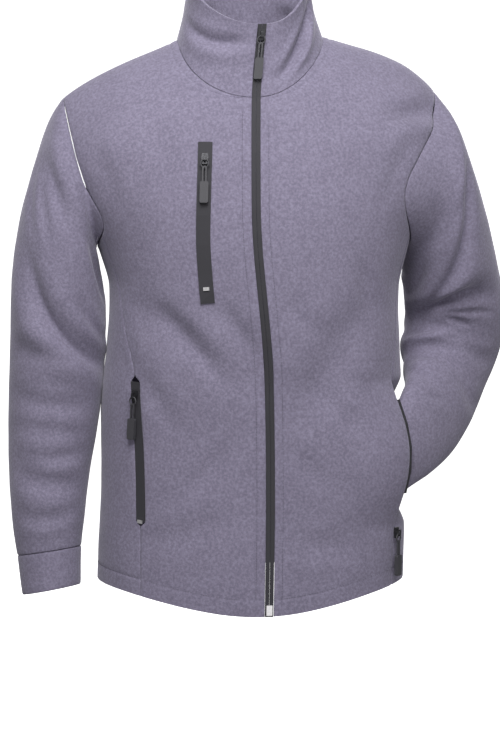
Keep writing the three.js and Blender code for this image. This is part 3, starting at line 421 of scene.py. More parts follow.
backFolds = [
    {"line": [(-150, -250), (-60, -282), (50, -272)], "width": 24, "depth": 4.5, "lean": 1.5},
    {"line": [(150, -290), (70, -322), (-30, -330)], "width": 24, "depth": 4},
    {"line": [(-130, -330), (-60, -372), (30, -420)], "width": 22, "depth": 3.4, "lean": 1},
    {"line": [(130, -350), (80, -392), (10, -450)], "width": 22, "depth": 3},
    {"line": [(-165, -120), (-140, -180), (-150, -240)], "width": 13, "depth": 3},
    {"line": [(165, -115), (142, -175), (150, -240)], "width": 13, "depth": 3},
    {"line": [(-80, -480), (-20, -520), (70, -540)], "width": 24, "depth": 2.6},
    {"line": [(100, -560), (30, -600), (-60, -610)], "width": 22, "depth": 2.2},
    {"line": [(-60, -70), (0, -92), (62, -72)], "width": 16, "depth": 2.2},
]


def relief(part, angle, p):
    x, z = p[..., 0], p[..., 2]
    folds = foldsAt(bodyFolds + finerBodyFolds, x, z) * smooth(np.cos(angle), 0, 0.3)
    folds = folds + foldsAt(backFolds, x, z) * smooth(-np.cos(angle), 0, 0.3)
    hand = handInPocket
    off = np.degrees(angle - seamAngle(1, z)) / hand["spread"]
    near = np.exp(-off * off)
    below = hip["out"] * np.exp(-(((z - hip["height"]) / hip["reach"]) ** 2)) * near
    opened = np.maximum(0, 1 - ((z - hand["middle"]) / hand["reach"]) ** 2) ** 1.5
    if part == "front":
        pressed = below + hand["lipOut"] * opened * near
    else:
        behind = np.exp(-((np.maximum(0, np.degrees(angle) - 90) / hand["behind"]) ** 2))
        pressed = below - hand["sideIn"] * opened * (0.4 + 0.6 * near) * behind
    return folds + np.where(x < 0, 0, pressed)


def clothPoint(part):
    def point(angle, way):
        p = formPoint(angle, way)
        out = normalOf(formPoint, angle, np.maximum(way, 2e-3))
        return p + out * relief(part, angle, p)[..., None]

    return point


# Panel edges

def hemAt(angle):
    back = np.maximum(0, -np.cos(angle))
    bow = np.where(np.cos(angle) > 0, body["hemRiseBetween"] * np.sin(2 * angle) ** 2, 0)
    low = -body["frontLength"] + body["hemRiseSide"] * np.sin(angle) ** 2
    return low + bow + body["hemRiseBack"] * back


def armholeHeight(turn):
    return armhole["middle"] + armhole["halfHeight"] * np.cos(np.radians(turn))


def armholePlace(side, turn):
    turn = np.asarray(turn, float)
    phi = np.radians(np.where(turn <= 180, turn, 360 - turn))
    scoop = np.where(phi > math.pi / 2, armhole["scoop"] * (1 - np.sin(phi)), 0)
    cut = cutIn[side]
    share = np.clip((turn - cut["from"]) / (180 - cut["from"]), 0, 1)
    angle = side * np.radians(armhole["angle"] + scoop - cut["by"] * np.sin(math.pi * share) ** 2)
    lift = side * body["shoulderTilt"] * np.maximum(0, np.cos(phi)) ** 2
    way = placeAt(angle, armhole["middle"] + armhole["halfHeight"] * np.cos(phi) + lift)[1]
    way = np.where(turn % 360 == 0, body["edgeWay"], np.maximum(way, body["edgeWay"]))
    return np.where(turn <= 180, angle, side * math.pi - angle), way


def shoulderTip(side):
    return formPoint(*armholePlace(side, 0))[..., 0]


seamTop = float(armholeHeight(armhole["meetsSeam"]))
armpit = float(armholeHeight(180))
neckStart = math.degrees(math.asin((mainZip["halfWidth"] + seam["gap"]) / body["neckHalfWidth"]))


def neckEdge(turn):
    turn = np.asarray(turn, float)
    a = np.radians(np.abs(turn))
    sign = np.where(turn < 0, -1.0, 1.0)
    x = body["neckHalfWidth"] * np.sin(a)
    fall = np.where(turn < 0, body["neckFall"][-1], body["neckFall"][1])
    z = tiltAt(sign * x) - body["neckFrontDrop"] * np.maximum(np.cos(a), 0) ** fall
    frontAngle, frontWay = angleAt(sign * x, z), wayOf(shoulderLine(sign * x) - z)
    angle = angleAt(x, 0)
    full = -body["neckBack"] * np.cos(a) / (backDepth(0) * np.cos(angle) * fuller(angle))
    backWay = body["shoulderRoll"] * np.arcsin(np.clip(full, -1, 1))
    ahead = np.abs(turn) <= 90
    way = np.maximum(np.where(ahead, frontWay, backWay), body["edgeWay"])
    return np.where(ahead, frontAngle, sign * (math.pi - angle)), way


def between(a, b, t):
    return a[0] + (b[0] - a[0]) * t, a[1] + (b[1] - a[1]) * t


def spanned(bottom, top, left, right):
    def place(s, t):
        along = between(bottom(s), top(s), t)
        over = between(left(t), right(t), s)
        corners = between(between(bottom(0.0), bottom(1.0), s), between(top(0.0), top(1.0), s), t)
        return tuple(along[k] + over[k] - corners[k] for k in (0, 1))

    return place


def slotAngle(side, z):
    low, high, ends = pocketZip["bottom"], pocketZip["top"], pocketZip["ends"]
    inside = smooth(z, low, low + ends) * (1 - smooth(z, high - ends, high))
    opened = pocketZip["halfWidth"] + seam["gap"] / 2 if side < 0 else seam["gap"] / 2
    return seam["gap"] / 2 / roundTheSeam["closed"] + inside * opened / roundTheSeam["open"]


def zipEdge(side, z):
    return angleAt(zipX(z) + side * (mainZip["halfWidth"] + seam["gap"]), z)


def lowHeight(angle, top, t):
    return hemAt(angle) + (top - hemAt(angle)) * t


def frontOuterEdge(side, t):
    z = lowHeight(seamAngle(side, -body["frontLength"]), seamTop, t)
    return side * (seamAngle(side, z) - slotAngle(side, z))


def sideInnerEdge(side, t):
    z = lowHeight(seamAngle(side, -body["frontLength"]), seamTop, t)
    return seamAngle(side, z) + slotAngle(side, z)


def twoParts(low, high):
    def place(s, t):
        a, b = low(s, np.minimum(t, 1)), high(s, np.clip(t - 1, 0, 1))
        return tuple(np.where(t <= 1, a[k], b[k]) for k in (0, 1))

    return place


def frontPlaces(side):
    def low(s, t):
        inner = zipEdge(side, lowHeight(0, seamTop, t))
        angle = inner + (frontOuterEdge(side, t) - inner) * s
        return placeAt(angle, lowHeight(angle, seamTop, t))

    def inner(t):
        z = seamTop + (-body["neckFrontDrop"] - seamTop) * np.minimum(2 * t, 1)
        zipPlace = placeAt(zipEdge(side, z), z)
        neckPlace = neckEdge(side * (neckStart + (90 - neckStart) * np.clip(2 * t - 1, 0, 1)))
        return tuple(np.where(t < 0.5, zipPlace[k], neckPlace[k]) for k in (0, 1))

    def outer(t):
        return armholePlace(side, armhole["meetsSeam"] * (1 - t))

    def top(s):
        x = side * body["neckHalfWidth"] * (1 - s) + shoulderTip(side) * s
        return angleAt(x, shoulderLine(x)), body["edgeWay"] + 0 * x

    return twoParts(low, spanned(lambda s: low(s, 1.0), top, inner, outer))


sideSeam = {"angle": math.radians(90), "halfGap": seam["gap"] / 2 / roundTheSide}
# Share of the back's top edge that each shoulder seam takes
shoulderShare = 0.31


def sidePlaces(side):
    last = sideSeam["angle"] - sideSeam["halfGap"]

    def place(s, t):
        turn = armhole["meetsSeam"] + (180 - armhole["meetsSeam"]) * s
        inner = sideInnerEdge(side, t)
        low = inner + (last - inner) * s
        underarm = np.minimum(np.abs(armholePlace(side, turn)[0]), last)
        topAngle = np.where(s <= 0, low, underarm)
        angle = low + (topAngle - low) * smooth(t, 0.7, 1)
        return placeAt(side * angle, lowHeight(angle, armholeHeight(turn), t))

    return place


def backPlaces():
    first = sideSeam["angle"] + sideSeam["halfGap"]

    def low(s, t):
        angle = first + (2 * math.pi - 2 * first) * s
        return placeAt(angle, lowHeight(angle, armpit, t))

    def top(s):
        s = np.asarray(s, float)
        side = np.where(s <= 0.5, 1, -1)
        half = np.minimum(s, 1 - s)
        share = np.clip(half / shoulderShare, 0, 1)
        tip = np.where(side > 0, shoulderTip(1), shoulderTip(-1))
        x = tip * (1 - share) + side * body["neckHalfWidth"] * share
        shoulder = side * math.pi - angleAt(x, shoulderLine(x)), body["edgeWay"] + 0 * x
        behind = np.clip((half - shoulderShare) / (0.5 - shoulderShare), 0, 1)
        neck = neckEdge(side * (90.001 + 89.999 * behind))
        angle, way = (np.where(half > shoulderShare, neck[k], shoulder[k]) for k in (0, 1))
        return np.where(side > 0, angle, 2 * math.pi + angle), way

    def left(t):
        angle, way = armholePlace(1, 180 + 180 * t)
        return np.maximum(angle, first), way

    def right(t):
        angle, way = armholePlace(-1, 180 + 180 * t)
        return 2 * math.pi + np.minimum(angle, -first), way

    return twoParts(low, spanned(lambda s: low(s, 1.0), top, left, right))


# Making a cloth piece from a grid

def gridMesh(points, closed=False):
    rows, cols = points.shape[:2]
    bm = bmesh.new()
    bmesh.ops.create_grid(bm, x_segments=cols - 1, y_segments=rows - 1, size=1)
    for vert in bm.verts:
        i = round((vert.co.x + 1) / 2 * (cols - 1))
        j = round((vert.co.y + 1) / 2 * (rows - 1))
        vert.co = points[j, i] / 1000
    if closed:
        bmesh.ops.remove_doubles(bm, verts=bm.verts, dist=1e-6)
    bmesh.ops.dissolve_degenerate(bm, dist=4e-5, edges=bm.edges)
    return bm


def turnedOut(bm, inside):
    # inside is a point that the outer faces look away from
    bm.normal_update()
    looks = 0
    for face in bm.faces:
        middle = face.calc_center_median()
        looks += (middle - inside(middle)).dot(face.normal) * face.calc_area()
    if looks < 0:
        bmesh.ops.reverse_faces(bm, faces=bm.faces)


def pieceFrom(name, bm, finish, bodyName="jacket"):
    mesh = bpy.data.meshes.new(name)
    bm.to_mesh(mesh)
    bm.free()
    mesh.polygons.foreach_set("use_smooth", [True] * len(mesh.polygons))
    mesh.materials.append(finish)
    piece = bpy.data.objects.new(name, mesh)
    bpy.context.scene.collection.objects.link(piece)
    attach(piece, bodyName)
    return piece


def thicken(piece, thick, bevel):
    wall = piece.modifiers.new("wall", "SOLIDIFY")
    wall.thickness = thick / 1000
    wall.offset = -1
    wall.use_even_offset = False
    rim = piece.modifiers.new("rolled_edge", "BEVEL")
    rim.width = bevel / 1000
    rim.segments = 2
    rim.limit_method = "ANGLE"
    rim.angle_limit = math.radians(50)


def rowLengths(points):
    steps = np.linalg.norm(np.diff(points, axis=1), axis=2)
    return np.concatenate([np.zeros((len(points), 1)), np.cumsum(steps, axis=1)], axis=1)


edgeRows = [0, 0.9, 2.2, 4]
stitching = {
    "zipRight": 16,
    "zipLeft": 15,
    "hem": 20,
    "groove": 0.75,
    "soft": 1.5,
    "lowest": -664,
    "highest": -92,
    "cornerHeight": -670,
    "fromZip": 0.13,
    "beforeSeam": 0.02,
    "afterSeam": 0.03,
    "sideEnd": 1.56,
    "backStart": 1.59,
}
# The edges of a panel that a seam joins to the next one
seamEdges = ["left", "right", "top"]
zipSideRows = [0, 0.9, 2.2, 4, 6.6, 8.6, 10, 11.2, 12.4, 14, 17]
hemRows = [0, 0.9, 2.2, 4, 8, 12.5, 16, 18.2, 19.4, 20.6, 21.8, 24, 28]


def graded(widths, near, far, cell):
    widths = np.asarray(widths, float)[:, None]
    count = max(3, int((widths.max() - near[-1] - far[-1]) / cell))
    middle = np.linspace(0, 1, count + 1)[None, 1:-1]
    inner = near[-1] + (widths - near[-1] - far[-1]) * middle
    start = np.array(near, float)[None, :] + 0 * widths
    end = widths - np.array(far[::-1], float)[None, :]
    return np.concatenate([start, inner, end], axis=1) / widths


def unevenness(points):
    # Broad, slow ups and downs of hand-cut cloth, the same on both sides of a seam
    x, y, z = (points[..., k] / 1000 for k in range(3))
    slow = np.sin(31 * x + 17 * z + 1.3) * np.sin(23 * z - 11 * y + 0.4) + 0.7 * np.sin(47 * y + 29 * z + 2.2)
    quick = np.sin(83 * x - 61 * z + 0.8) * np.sin(71 * y + 90 * z + 2.9)
    return 0.42 * slow + 0.16 * quick


def makePanel(name, part, place, tMarks, sewn, sideRows=edgeRows):
    # tMarks are rows of (from, to, length in mm, offsets at the start, offsets at the end)
    t = []
    for low, high, length, near, far in tMarks:
        shares = graded([length], near, far, cloth["cell"])[0]
        marks = [low + (high - low) * share for share in shares]
        t += [mark for mark in marks if not t or mark > t[-1] + 1e-9]
    t = np.array(t)
    point = clothPoint(part)
    coarse = np.linspace(0, 1, 13)[None, :] + 0 * t[:, None]
    widths = rowLengths(formPoint(*place(coarse, t[:, None] + 0 * coarse)))[:, -1]
    s = graded(np.maximum(widths, cloth["narrowest"]), sideRows, edgeRows, cloth["cell"])
    t = t[:, None] + 0 * s
    angle, way = place(s, t)
    points = point(angle, way)
    outs = normalOf(formPoint, angle, np.maximum(way, 2e-3))
    left = rowLengths(points)
    right = left[:, -1:] - left
    down = rowLengths(points.transpose(1, 0, 2)).T
    up = down[-1:, :] - down
    near = {"left": left, "right": right, "bottom": down, "top": up}
    dip = seam["dip"] * np.minimum(sum(np.exp(-near[edge] / seam["soft"]) for edge in seamEdges), 1)
    for edge, apart in sewn.items():
        dip = dip + stitching["groove"] * np.exp(-(((near[edge] - apart) / stitching["soft"]) ** 2))
    points = points + outs * (unevenness(points) - dip)[..., None]
    bm = gridMesh(points)
    turnedOut(bm, lambda c: Vector((0, 0, c.z)))
    piece = pieceFrom(name + "_cloth", bm, fleeceMaterial)
    thicken(piece, cloth["wall"], cloth["bevel"])
    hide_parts(name)
    print(name, "made,", len(piece.data.polygons), "faces")


fleeceMaterial = fleeceFinish()
# The thread is the fleece's own colour at half brightness: real stitches whose colour carries the painted
# shade of the stitch grooves
threadPaintedShadeMaterial = plainFinish("sewing_thread_painted_shade", (0.085, 0.078, 0.105), 0.75)
tapeMaterial = plainFinish("woven_tape", (0.02, 0.019, 0.024), 0.8)
rubberMaterial = plainFinish("moulded_grip", (0.035, 0.034, 0.04), 0.6)
sliderMaterial = plainFinish("painted_slider", (0.03, 0.03, 0.034), 0.4, 0.6)
steelMaterial = plainFinish("steel", (0.6, 0.59, 0.6), 0.35, 0.9)

# Each stitch as its place, its run, the way out, its length and its thickness
stitches = []


def panelSpots(part, angle, z):
    # Points on a panel, and the way out there
    angle, z = np.broadcast_arrays(np.asarray(angle, float), np.asarray(z, float))
    place = placeAt(angle, z)
    points, outs = clothPoint(part)(*place), normalOf(formPoint, *place)
    return points + outs * unevenness(points)[..., None], outs


def sew(points, outs, every=3.1, long=2.5, thick=0.62, sunk=0.35):
    # Short threads along a line on the cloth
    far = np.concatenate([[0], np.cumsum(np.linalg.norm(np.diff(points, axis=0), axis=1))])
    for along in np.arange(every / 2, far[-1] - long / 2, every):
        at = np.array([np.interp(along, far, points[:, k]) for k in range(3)])
        ahead = np.array([np.interp(along + 0.6, far, points[:, k]) for k in range(3)])
        out = np.array([np.interp(along, far, outs[:, k]) for k in range(3)])
        stitches.append((at - out * sunk, unit(ahead - at), unit(out), long, thick))


def makeThreads(name):
    bm = bmesh.new()
    for at, run, out, long, thick in stitches:
        side = Vector(np.cross(out, run)).normalized()
        turn = Matrix((Vector(run), side, Vector(run).cross(side))).transposed().to_4x4()
        size = Matrix.Diagonal((long / 2000, thick / 2000, thick / 2000, 1))
        matrix = Matrix.Translation(Vector(at) / 1000) @ turn @ size
        bmesh.ops.create_icosphere(bm, subdivisions=1, radius=1, matrix=matrix)
    # The stitches get the darkened thread finish, which paints the shade of their grooves
    piece = pieceFrom(name, bm, threadPaintedShadeMaterial)
    print(name, len(stitches), "stitches")


def sewPanels():
    heights = np.arange(stitching["lowest"], stitching["highest"], 3.0)
    for side, apart in ((-1, stitching["zipRight"]), (1, stitching["zipLeft"])):
        z = heights + (0 if side < 0 else 1.5)
        sew(*panelSpots("front", angleAt(zipX(z) + side * apart, z), z))
        corner = float(seamAngle(side, stitching["cornerHeight"]))
        frontRun = ("front", stitching["fromZip"], corner - stitching["beforeSeam"])
        sideRun = ("side", corner + stitching["afterSeam"], stitching["sideEnd"])
        for part, start, stop in (frontRun, sideRun):
            angle = side * np.linspace(start, stop, 120)
            sew(*panelSpots(part, angle, hemAt(angle) + stitching["hem"]))
    angle = np.linspace(stitching["backStart"], 2 * math.pi - stitching["backStart"], 320)
    sew(*panelSpots("back", angle, hemAt(angle) + stitching["hem"]))
    for spots, count in ((pocketCurve, 140), (pocketFoot, 60)):
        last = len(spots) - 1
        curve = hermite(range(last + 1), spots)(np.linspace(0, last, count))
        sew(*panelSpots("front", angleAt(curve[:, 0], curve[:, 1]), curve[:, 1]))
    makeThreads("panel_stitching")


# The chest pocket's sewn line, as x and height on the front
pocketCurve = [
    (-71, -131), (-116, -132), (-144, -139), (-167, -147), (-176, -160), (-178, -185), (-174, -212)
]
pocketFoot = [(-66, -314), (-79, -313), (-107, -308), (-134, -301)]
sewPanels()

frontRows = [(0, 1, 560, hemRows, [0]), (1, 1.5, 170, [0], [0]), (1.5, 2, 110, [0], edgeRows)]
sideRows = [(0, 1, 440, hemRows, edgeRows)]
backRows = [(0, 1, 420, hemRows, [0]), (1, 2, 260, [0], edgeRows)]
hemSewn = {"bottom": stitching["hem"]}
for side, word in ((-1, "right"), (1, "left")):
    gap = mainZip["halfWidth"] + seam["gap"]
    sewn = {**hemSewn, "left": stitching["zip" + word.capitalize()] - gap}
    places = frontPlaces(side)
    makePanel("front_" + word, "front", places, frontRows, sewn, zipSideRows)
    makePanel("side_" + word, "side", sidePlaces(side), sideRows, hemSewn)
makePanel("back", "back", backPlaces(), backRows, hemSewn)

# Sleeves

rightSleeve = {
    "outX": [-241, -258, -277, -288, -292, -295, -295, -291, -286, -280],
    "outY": [0, 0, 0, 2, 3, 0, -6, -13, -17, -24],
    "outZ": [-97, -142, -216, -300, -385, -460, -538, -596, -628, -676],
    "inX": [-188, -185, -179, -176, -180, -187, -197, -204, -208, -209],
    "inY": [0, -4, -12, -15, -12, -8, -9, -13, -16, -23],
    "inZ": [-260, -276, -304, -350, -410, -470, -531, -585, -617, -664],
    "halfDepth": [69, 72, 70, 66, 61, 57, 52, 46, 41, 38],
}
leftSleeve = {
    "outX": [242, 261, 291, 316, 331, 321, 296, 270, 245, 217, 185, 151, 120],
    "outY": [0, 6, 22, 44, 66, 74, 54, 22, -12, -43, -66, -80, -82],
    "outZ": [-86, -130, -204, -276, -332, -392, -446, -486, -514, -531, -546, -568, -611],
    "inX": [195, 199, 201, 203, 206, 201, 201, 200, 186, 164, 139, 114, 86],
    "inY": [3, 10, 24, 40, 40, 26, 6, -26, -53, -71, -88, -98, -100],
    "inZ": [-259, -276, -300, -322, -344, -364, -386, -406, -428, -455, -477, -506, -550],
    "halfDepth": [69, 72, 69, 65, 60, 54, 42, 31, 22, 17, 15, 15, 15],
}
# Sleeve folds: degrees round the tube, from its outer edge over the front, and the way down its middle
rightSleeveFolds = [
    {"line": [(45, 110), (95, 186), (190, 226)], "width": 17, "depth": 8, "lean": 3},
    {"line": [(20, 16), (72, 36), (136, 24)], "width": 12, "depth": -3},
    {"line": [(126, 40), (150, 64), (176, 116)], "width": 13, "depth": 4},
    {"line": [(30, 358), (80, 376), (145, 388)], "width": 14, "depth": 4},
    {"line": [(205, 250), (255, 264), (320, 240)], "width": 17, "depth": 5},
    {"line": [(52, 120), (100, 192), (172, 222)], "width": 7, "depth": 3.2, "lean": 1.6},
    {"line": [(16, 48), (34, 75), (62, 112)], "width": 7, "depth": 1.8},
    {"line": [(20, 46), (50, 69), (84, 104)], "width": 7, "depth": 2.0, "lean": 0.5},
    {"line": [(22, 46), (66, 56), (112, 82)], "width": 8, "depth": 2.0},
    {"line": [(152, 66), (164, 96), (178, 132)], "width": 8, "depth": 2.2},
    {"line": [(120, 120), (140, 160), (176, 186)], "width": 9, "depth": 2.4},
    {"line": [(30, 226), (78, 222), (130, 214)], "width": 13, "depth": 2.6},
    {"line": [(26, 276), (90, 284), (150, 272)], "width": 13, "depth": 2.4, "lean": 0.6},
    {"line": [(34, 318), (86, 312), (140, 322)], "width": 11, "depth": 1.8},
    {"line": [(30, 344), (92, 350), (150, 340)], "width": 11, "depth": 2.2},
    {"line": [(36, 410), (90, 424), (150, 412)], "width": 10, "depth": 2.0},
    {"line": [(190, 90), (238, 128), (300, 120)], "width": 12, "depth": 3},
    {"line": [(180, 170), (232, 190), (300, 176)], "width": 12, "depth": 3.2, "lean": 1},
    {"line": [(196, 320), (256, 334), (330, 318)], "width": 13, "depth": 2.6},
    {"line": [(200, 396), (260, 384), (336, 396)], "width": 12, "depth": 2.4},
    {"line": [(330, 60), (344, 130), (352, 200)], "width": 12, "depth": 1.8},
]
leftSleeveFolds = [
    {"line": [(172, 205), (112, 146), (50, 178)], "width": 15, "depth": 8, "lean": 3},
    {"line": [(50, 30), (108, 104), (168, 180)], "width": 15, "depth": 5},
    {"line": [(40, 18), (88, 26), (140, 26)], "width": 12, "depth": -3},
    {"line": [(195, 290), (152, 274), (106, 270)], "width": 15, "depth": 5},
    {"line": [(200, 150), (250, 172), (310, 150)], "width": 17, "depth": 5},
    {"line": [(168, 204), (112, 144), (54, 176)], "width": 7, "depth": 3.4, "lean": 1.4},
    {"line": [(124, 170), (96, 178), (56, 196)], "width": 7, "depth": 2.6},
    {"line": [(122, 174), (110, 196), (96, 214)], "width": 7, "depth": 2.2},
    {"line": [(84, 72), (124, 122), (172, 192)], "width": 8, "depth": 2.6, "lean": 1},
    {"line": [(52, 28), (78, 62), (110, 96)], "width": 9, "depth": 2.2},
    {"line": [(150, 30), (158, 84), (170, 140)], "width": 9, "depth": 2.4},
    {"line": [(200, 252), (150, 248), (112, 212)], "width": 10, "depth": -2.6},
    {"line": [(198, 306), (152, 294), (104, 292)], "width": 9, "depth": 2.6},
    {"line": [(200, 318), (144, 338), (98, 334)], "width": 9, "depth": 2.0},
    {"line": [(150, 362), (120, 356), (92, 340)], "width": 8, "depth": 1.8},
    {"line": [(40, 240), (74, 262), (104, 250)], "width": 11, "depth": 2.2},
    {"line": [(30, 300), (66, 316), (100, 302)], "width": 11, "depth": 2.0},
    {"line": [(190, 70), (240, 110), (300, 96)], "width": 12, "depth": 3},
    {"line": [(186, 214), (236, 232), (300, 210)], "width": 12, "depth": 3.4},
    {"line": [(196, 270), (250, 288), (320, 268)], "width": 13, "depth": 3},
    {"line": [(200, 340), (256, 352), (330, 336)], "width": 12, "depth": 2.4},
    {"line": [(330, 50), (344, 120), (350, 180)], "width": 12, "depth": 1.8},
]


def armholeSeam(side, turns):
    # The seam's points on the body, and the way off towards the sleeve
    turns = np.asarray(turns, float) % 360
    points, outs = np.zeros((len(turns), 3)), np.zeros((len(turns), 3))
    parts = [("front", turns < armhole["meetsSeam"]), ("back", turns > 180)]
    parts.append(("side", ~(parts[0][1] | parts[1][1])))
    for part, here in parts:
        angle, way = armholePlace(side, turns[here])
        points[here] = clothPoint(part)(angle, way)
        outs[here] = normalOf(clothPoint(part), angle, way)
    before, after = (formPoint(*armholePlace(side, (turns + d) % 360)) for d in (359.5, 0.5))
    off = unit(np.cross(outs, after - before))
    towards = np.array([side * body["shoulderX"], 0, armhole["middle"]]) - points
    off = np.where(np.sum(off * towards, axis=-1, keepdims=True) < 0, -off, off)
    points[:, 1] = np.where(turns == 0, 0, points[:, 1])
    return points + off * 2 * seam["gap"]


def tubeOf(table, side):
    def edge(end):
        return np.stack([np.array(table[end + axis], float) for axis in "XYZ"], -1)

    outer, inner = edge("out"), edge("in")
    middles = (outer + inner) / 2
    index = np.arange(len(middles))
    axes = unit(middles[np.minimum(index + 1, index[-1])] - middles[np.maximum(index - 1, 0)])
    wides = (outer - inner) / 2
    fores = unit(np.cross(axes, wides))
    fores = np.where(fores[:, 1:2] > 0, -fores, fores)
    ends = armholeSeam(side, [0, 180])
    line = np.concatenate([[(ends[0] + ends[1]) / 2], middles])
    far = np.concatenate([[0], np.cumsum(np.linalg.norm(np.diff(line, axis=0), axis=1))])

    def points(turns, alongs):
        a = np.radians(turns)[None, :, None]
        depth = np.array(table["halfDepth"], float)[:, None, None]
        rings = middles[:, None] + wides[:, None] * np.cos(a) + fores[:, None] * depth * np.sin(a)
        knots = np.concatenate([armholeSeam(side, turns)[None], rings])
        return hermite(far, knots)(alongs)

    return points, far[-2], far[-1]


def outsOf(points):
    # The way out of a tube whose first column is repeated at its end
    ends = points[:, 1:2] - points[:, -2:-1]
    around = np.concatenate([ends, points[:, 2:] - points[:, :-2], ends], 1)
    down = np.gradient(points, axis=0)
    outs = unit(np.cross(around, down))
    middle = points[:, :-1].mean(axis=1, keepdims=True)
    return outs * np.sign(np.sum(outs * (points - middle)))


def makeArm(side, word, table, folds, flats):
    points, cuffFrom, length = tubeOf(table, side)
    turns = np.linspace(0, 360, cloth["around"] + 1)
    ranges = [
        ("sleeve_" + word, 0, cuffFrom, cloth["wall"]),
        ("cuff_" + word, cuffFrom + 2 * seam["gap"], length, cloth["doubled"]),
    ]
    for (name, start, end, thick), (flat, area) in zip(ranges, flats):
        alongs = start + (end - start) * graded([end - start], edgeRows, edgeRows, cloth["cell"])[0]
        grid = points(turns, alongs)
        outs = outsOf(grid)
        ends = smooth(alongs, 0, cloth["calm"]) * smooth(cuffFrom - alongs, 0, cloth["calm"])
        u, v = np.meshgrid(turns, alongs)
        grid = grid + outs * (foldsAt(folds, u, v, True) * ends[:, None])[..., None]
        edge = np.minimum(alongs - start, end - alongs)
        dip = seam["dip"] * np.exp(-edge / seam["soft"])[:, None]
        grid = grid + outs * (unevenness(grid) - dip)[..., None]
        bm = gridMesh(grid, True)
        middles = [Vector(m / 1000) for m in grid[:, :-1].mean(axis=1)]
        turnedOut(bm, lambda c: min(middles, key=lambda m: (m - c).length_squared))
        piece = pieceFrom(name + "_cloth", bm, fleeceMaterial)
        thicken(piece, thick, cloth["bevel"])
        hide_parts(name)
        print(name, "made,", len(piece.data.polygons), "faces")


makeArm(-1, "right", rightSleeve, rightSleeveFolds, [((0.42, 0.58), 0.159), ((0.2, 0.06), 0.0113)])
makeArm(1, "left", leftSleeve, leftSleeveFolds, [((0.42, 0.58), 0.152), ((0.17, 0.06), 0.0078)])

# Collar

collar = {
    "height": 85,
    "rightLean": 15,
    "leftLean": 20,
    "frontLean": 12,
    "backLean": 8,
    "flare": 5,
    "straight": 35,
    "radius": 74,
    "cell": 3,
    "rolled": 1.3,
}
# On the collar a fold's points are degrees round the neck from the front, and the height above its seam.
collarFolds = [
    {"line": [(-14, 68), (-34, 52), (-88, 26)], "width": 8, "depth": 5, "lean": 2},
    {"line": [(16, 12), (38, 34), (72, 68)], "width": 9, "depth": 7, "lean": -2},
    {"line": [(-15, 64), (-42, 46), (-72, 34)], "width": 4, "depth": 1.6, "lean": 0.8},
    {"line": [(13, 11), (42, 30), (58, 44)], "width": 4, "depth": 1.8},
    {"line": [(-100, 20), (-128, 46), (-150, 60)], "width": 9, "depth": 3},
    {"line": [(100, 24), (126, 40), (152, 58)], "width": 9, "depth": 3},
    {"line": [(168, 14), (182, 34), (196, 60)], "width": 9, "depth": 2},
]


def collarPoint(turn, up):
    turn, up = np.broadcast_arrays(np.asarray(turn, float), np.asarray(up, float))
    c = np.cos(np.radians(turn))
    angle, way = neckEdge(turn)
    base = np.where((c > 0)[..., None], clothPoint("front")(angle, way), clothPoint("back")(angle, way))
    plan = base * np.stack([smooth(np.abs(turn), neckStart, collar["straight"]), 1 + 0 * c, 0 * c], -1)
    plan = unit(plan)
    lean = np.where(turn < 0, collar["rightLean"], collar["leftLean"]) * np.sin(np.radians(turn)) ** 2
    lean = lean + np.where(c > 0, collar["frontLean"], collar["backLean"]) * c * c
    share = up / collar["height"]
    inwards = lean * np.sin(np.minimum(share, 1.1) * math.pi / 2) - collar["flare"] * share**3
    fold = smooth(up, 4, 22) * foldsAt(collarFolds, turn, up)
    sway = (zipX(base[..., 2] + up) - zipX(base[..., 2])) * np.maximum(0, c) ** 3
    return base + plan * (fold - inwards)[..., None] + np.stack([sway, 0 * up, up + seam["gap"]], -1)


def makeCollar():
    widths = [math.radians(180 - neckStart) * collar["radius"]]
    half = neckStart + (180 - neckStart) * graded(widths, edgeRows, [0], collar["cell"])[0]
    turns = np.concatenate([half, -half[-2::-1]])
    ups = collar["height"] * graded([collar["height"]], edgeRows, edgeRows, collar["cell"])[0]
    turn, up = np.meshgrid(turns, ups)
    grid = collarPoint(turn, up)
    bm = gridMesh(grid)
    turnedOut(bm, lambda c: Vector((0, 0, c.z)))
    piece = pieceFrom("collar_cloth", bm, fleeceMaterial)
    thicken(piece, cloth["doubled"], collar["rolled"])
    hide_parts("collar")
    print("collar made")


makeCollar()

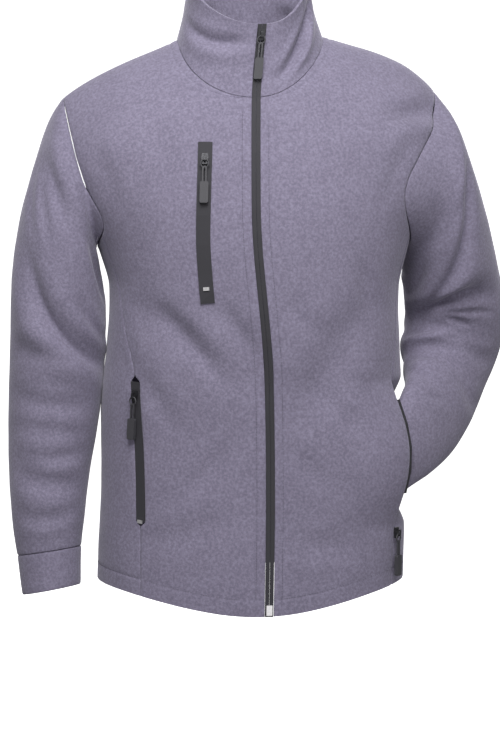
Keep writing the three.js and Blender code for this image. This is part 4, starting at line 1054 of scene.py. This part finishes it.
# Finishes of the parts that keep the CAD's own shape
for name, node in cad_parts.items():
    if node.hide_render:
        continue
    material = tapeMaterial
    if "slider" in name:
        material = sliderMaterial
    elif "pull" in name:
        material = rubberMaterial
    elif "stop" in name or "box" in name:
        material = steelMaterial
    node.data.materials.clear()
    node.data.materials.append(material)


def makeStudio():
    # A pale floor in a white room, which the camera sees and the cloth doesn't
    room = studio["room"] / 1000
    white = (studio["white"],) * 3 + (1,)
    shapes = {"floor": bmesh.new(), "backdrop": bmesh.new()}
    low = Matrix.Translation((0, 0, studio["floor"] / 1000))
    bmesh.ops.create_grid(shapes["floor"], x_segments=1, y_segments=1, size=room, matrix=low)
    bmesh.ops.create_icosphere(shapes["backdrop"], subdivisions=4, radius=room)
    bmesh.ops.reverse_faces(shapes["backdrop"], faces=shapes["backdrop"].faces)
    for name, bm in shapes.items():
        mesh = bpy.data.meshes.new(name)
        bm.to_mesh(mesh)
        bm.free()
        made = bpy.data.objects.new(name, mesh)
        bpy.context.scene.collection.objects.link(made)
        pale = Finish("pale_" + name)
        grain = pale.noise(pale.place(), 3.0, Detail=2.0)
        glow = {"Emission_Color": (1, 1, 1, 1), "Emission_Strength": studio["glow"]}
        pale.surface(Base_Color=white, Roughness=grain * 0.1 + 0.85, **glow)
        made.data.materials.append(pale.material)
        made.visible_diffuse = made.visible_glossy = made.visible_shadow = False
    world = bpy.data.worlds.new("studio_white")
    world.use_nodes = True
    world.node_tree.nodes["Background"].inputs["Color"].default_value = (1, 1, 1, 1)
    world.node_tree.nodes["Background"].inputs["Strength"].default_value = studio["sky"]
    bpy.context.scene.world = world
    for lamp in lamps:
        light = bpy.data.lights.new(lamp["name"], "AREA")
        light.size = lamp["size"] / 1000
        light.energy = lamp["power"]
        made = bpy.data.objects.new(lamp["name"], light)
        bpy.context.scene.collection.objects.link(made)
        made.location = Vector(lamp["place"]) / 1000
        aim = Vector(view["target"]) / 1000 - made.location
        made.rotation_mode = "QUATERNION"
        made.rotation_quaternion = aim.to_track_quat("-Z", "Y")
    bpy.context.scene.view_settings.view_transform = "Standard"


makeCamera()
makeStudio()
print("studio made")
